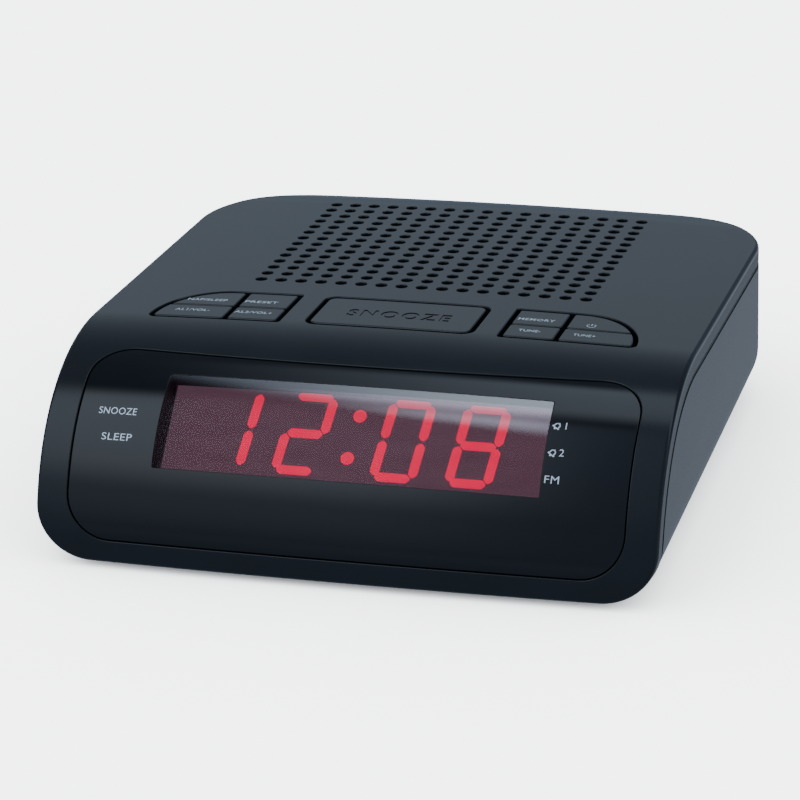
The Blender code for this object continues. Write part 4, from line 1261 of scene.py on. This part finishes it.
def make_floor():
    """A pale table, see-through from beneath.

    Only the camera sees it: the room below the horizon stands in for it elsewhere.
    """
    material = finishes["floor"] = bpy.data.materials.new("floor")
    material.use_nodes = True
    tree = material.node_tree
    shader = tree.nodes["Principled BSDF"]
    shader.inputs["Base Color"].default_value = (0.8, 0.8, 0.8, 1)
    shader.inputs["Roughness"].default_value = 0.9
    shader.inputs["Specular IOR Level"].default_value = 0.0
    # Painted shadow: the floor's glow is darkened by ambient occlusion round the clock, a contact shadow
    # painted in rather than cast.
    shade = node(tree, "ShaderNodeAmbientOcclusion", Distance=0.07)
    shade.samples = 8
    tree.links.new(ramp(tree, noise(tree, 3.0), (0.98, 0.99, 1.0), (1.0, 1.0, 1.0)), shade.inputs["Color"])
    tree.links.new(shade.outputs["Color"], shader.inputs["Emission Color"])
    shader.inputs["Emission Strength"].default_value = FLOOR_GLOW
    seen_from_beneath = tree.nodes.new("ShaderNodeNewGeometry").outputs["Backfacing"]
    clear = tree.nodes.new("ShaderNodeBsdfTransparent")
    surface = mixed(tree, seen_from_beneath, shader.outputs["BSDF"], clear.outputs["BSDF"])
    tree.links.new(surface, tree.nodes["Material Output"].inputs["Surface"])
    bm = bmesh.new()
    reach = 4.0
    bm.faces.new([bm.verts.new((x * reach, y * reach, 0)) for x, y in ((-1, -1), (1, -1), (1, 1), (-1, 1))])
    floor = add_mesh("floor", bm, "floor")
    floor.visible_glossy = False
    floor.visible_diffuse = False


FLOOR_GLOW = 4.5
SKY = (0.90, 1.00, 1.10)
ROOM = (0.76, 1.00, 1.34)
# The studio: (strength, colour, edges). A light shows where the product of the direction with each
# edge's vector is past its start, and is full past its end.
STUDIO = (
    (0.25, ROOM, ()),
    (0.17, ROOM, (((0, 0, -1), 0.0, 0.08),)),  # the table
    (0.17, (1.12, 1.0, 0.86), (((0, 0, -1), 0.0, 0.1), ((1, 0, 0), -0.1, 0.15), ((0, 1, 0), 0.2, 0.6))),
    (0.24, (0.94, 1.0, 1.03), (((0, 1, 0), 0.2, 0.6), ((-1, 0, 0), -0.02, 0.12), ((0, 0, 1), 0.04, 0.22),
                               ((0, 0, -1), -0.95, -0.3))),  # behind, to the left
    (1.85, (0.85, 1.00, 1.15), (((1, 0, 0), -0.37, -0.16), ((0, 1, 0), -0.06, 0.13),
                                ((0, -1, 0.55), 0.0, 0.12))),  # overhead
    (1.30, SKY, (((-1, 0, 0), 0.12, 0.28), ((0, -1, 0), -0.03, 0.14), ((0, 0, 1), 0.30, 0.62))),
    (0.44, SKY, (((-1, 0, 0), 0.12, 0.28), ((0, -1, 0), -0.03, 0.14), ((0, 0, 1), -0.15, 0.30))),
    (0.24, ROOM, (((0, -1, 0), 0.02, 0.12), ((0, 0, 1), -0.20, 0.05))),  # the room in front
    (0.38, ROOM, (((0, -1, 0), 0.02, 0.25), ((0, 0, 1), 0.50, 0.90), ((-1, 0, 0), 0.08, 0.26))),
    (0.30, SKY, (((1, 0, 0), 0.7, 0.95), ((0, 0, -1), -0.5, 0.0))),  # from the right, low
)


def make_world():
    world = bpy.data.worlds.new("studio")
    bpy.context.scene.world = world
    world.use_nodes = True
    tree = world.node_tree
    place = tree.nodes.new("ShaderNodeTexCoord")
    total = None
    for strength, colour, edges in STUDIO:
        light = vector_math(tree, "SCALE", colour, None, strength)
        for direction, start, end in edges:
            reach = vector_math(tree, "DOT_PRODUCT", place.outputs["Generated"], direction)
            fade = span(tree, reach.outputs["Value"], start, end, smooth=True)
            light = vector_math(tree, "SCALE", light.outputs["Vector"], None, fade)
        total = light if total is None else vector_math(tree, "ADD", total.outputs["Vector"],
                                                        light.outputs["Vector"])
    tree.links.new(total.outputs["Vector"], tree.nodes["Background"].inputs["Color"])
    # The camera sees a plain pale backdrop where the studio's lights would be.
    backdrop = node(tree, "ShaderNodeBackground", Color=(0.99, 0.995, 1.0, 1.0), Strength=FLOOR_GLOW)
    seen = tree.nodes.new("ShaderNodeLightPath").outputs["Is Camera Ray"]
    studio = tree.nodes["Background"].outputs["Background"]
    surface = mixed(tree, seen, studio, backdrop.outputs["Background"])
    tree.links.new(surface, tree.nodes["World Output"].inputs["Surface"])


make_camera()
paint_nodes()
make_cover()
make_panel()
make_lens()
make_digits()
make_print()
make_keys()
make_cabinet()
make_door()
make_feet()
make_screws()
make_glands()
make_floor()
make_world()
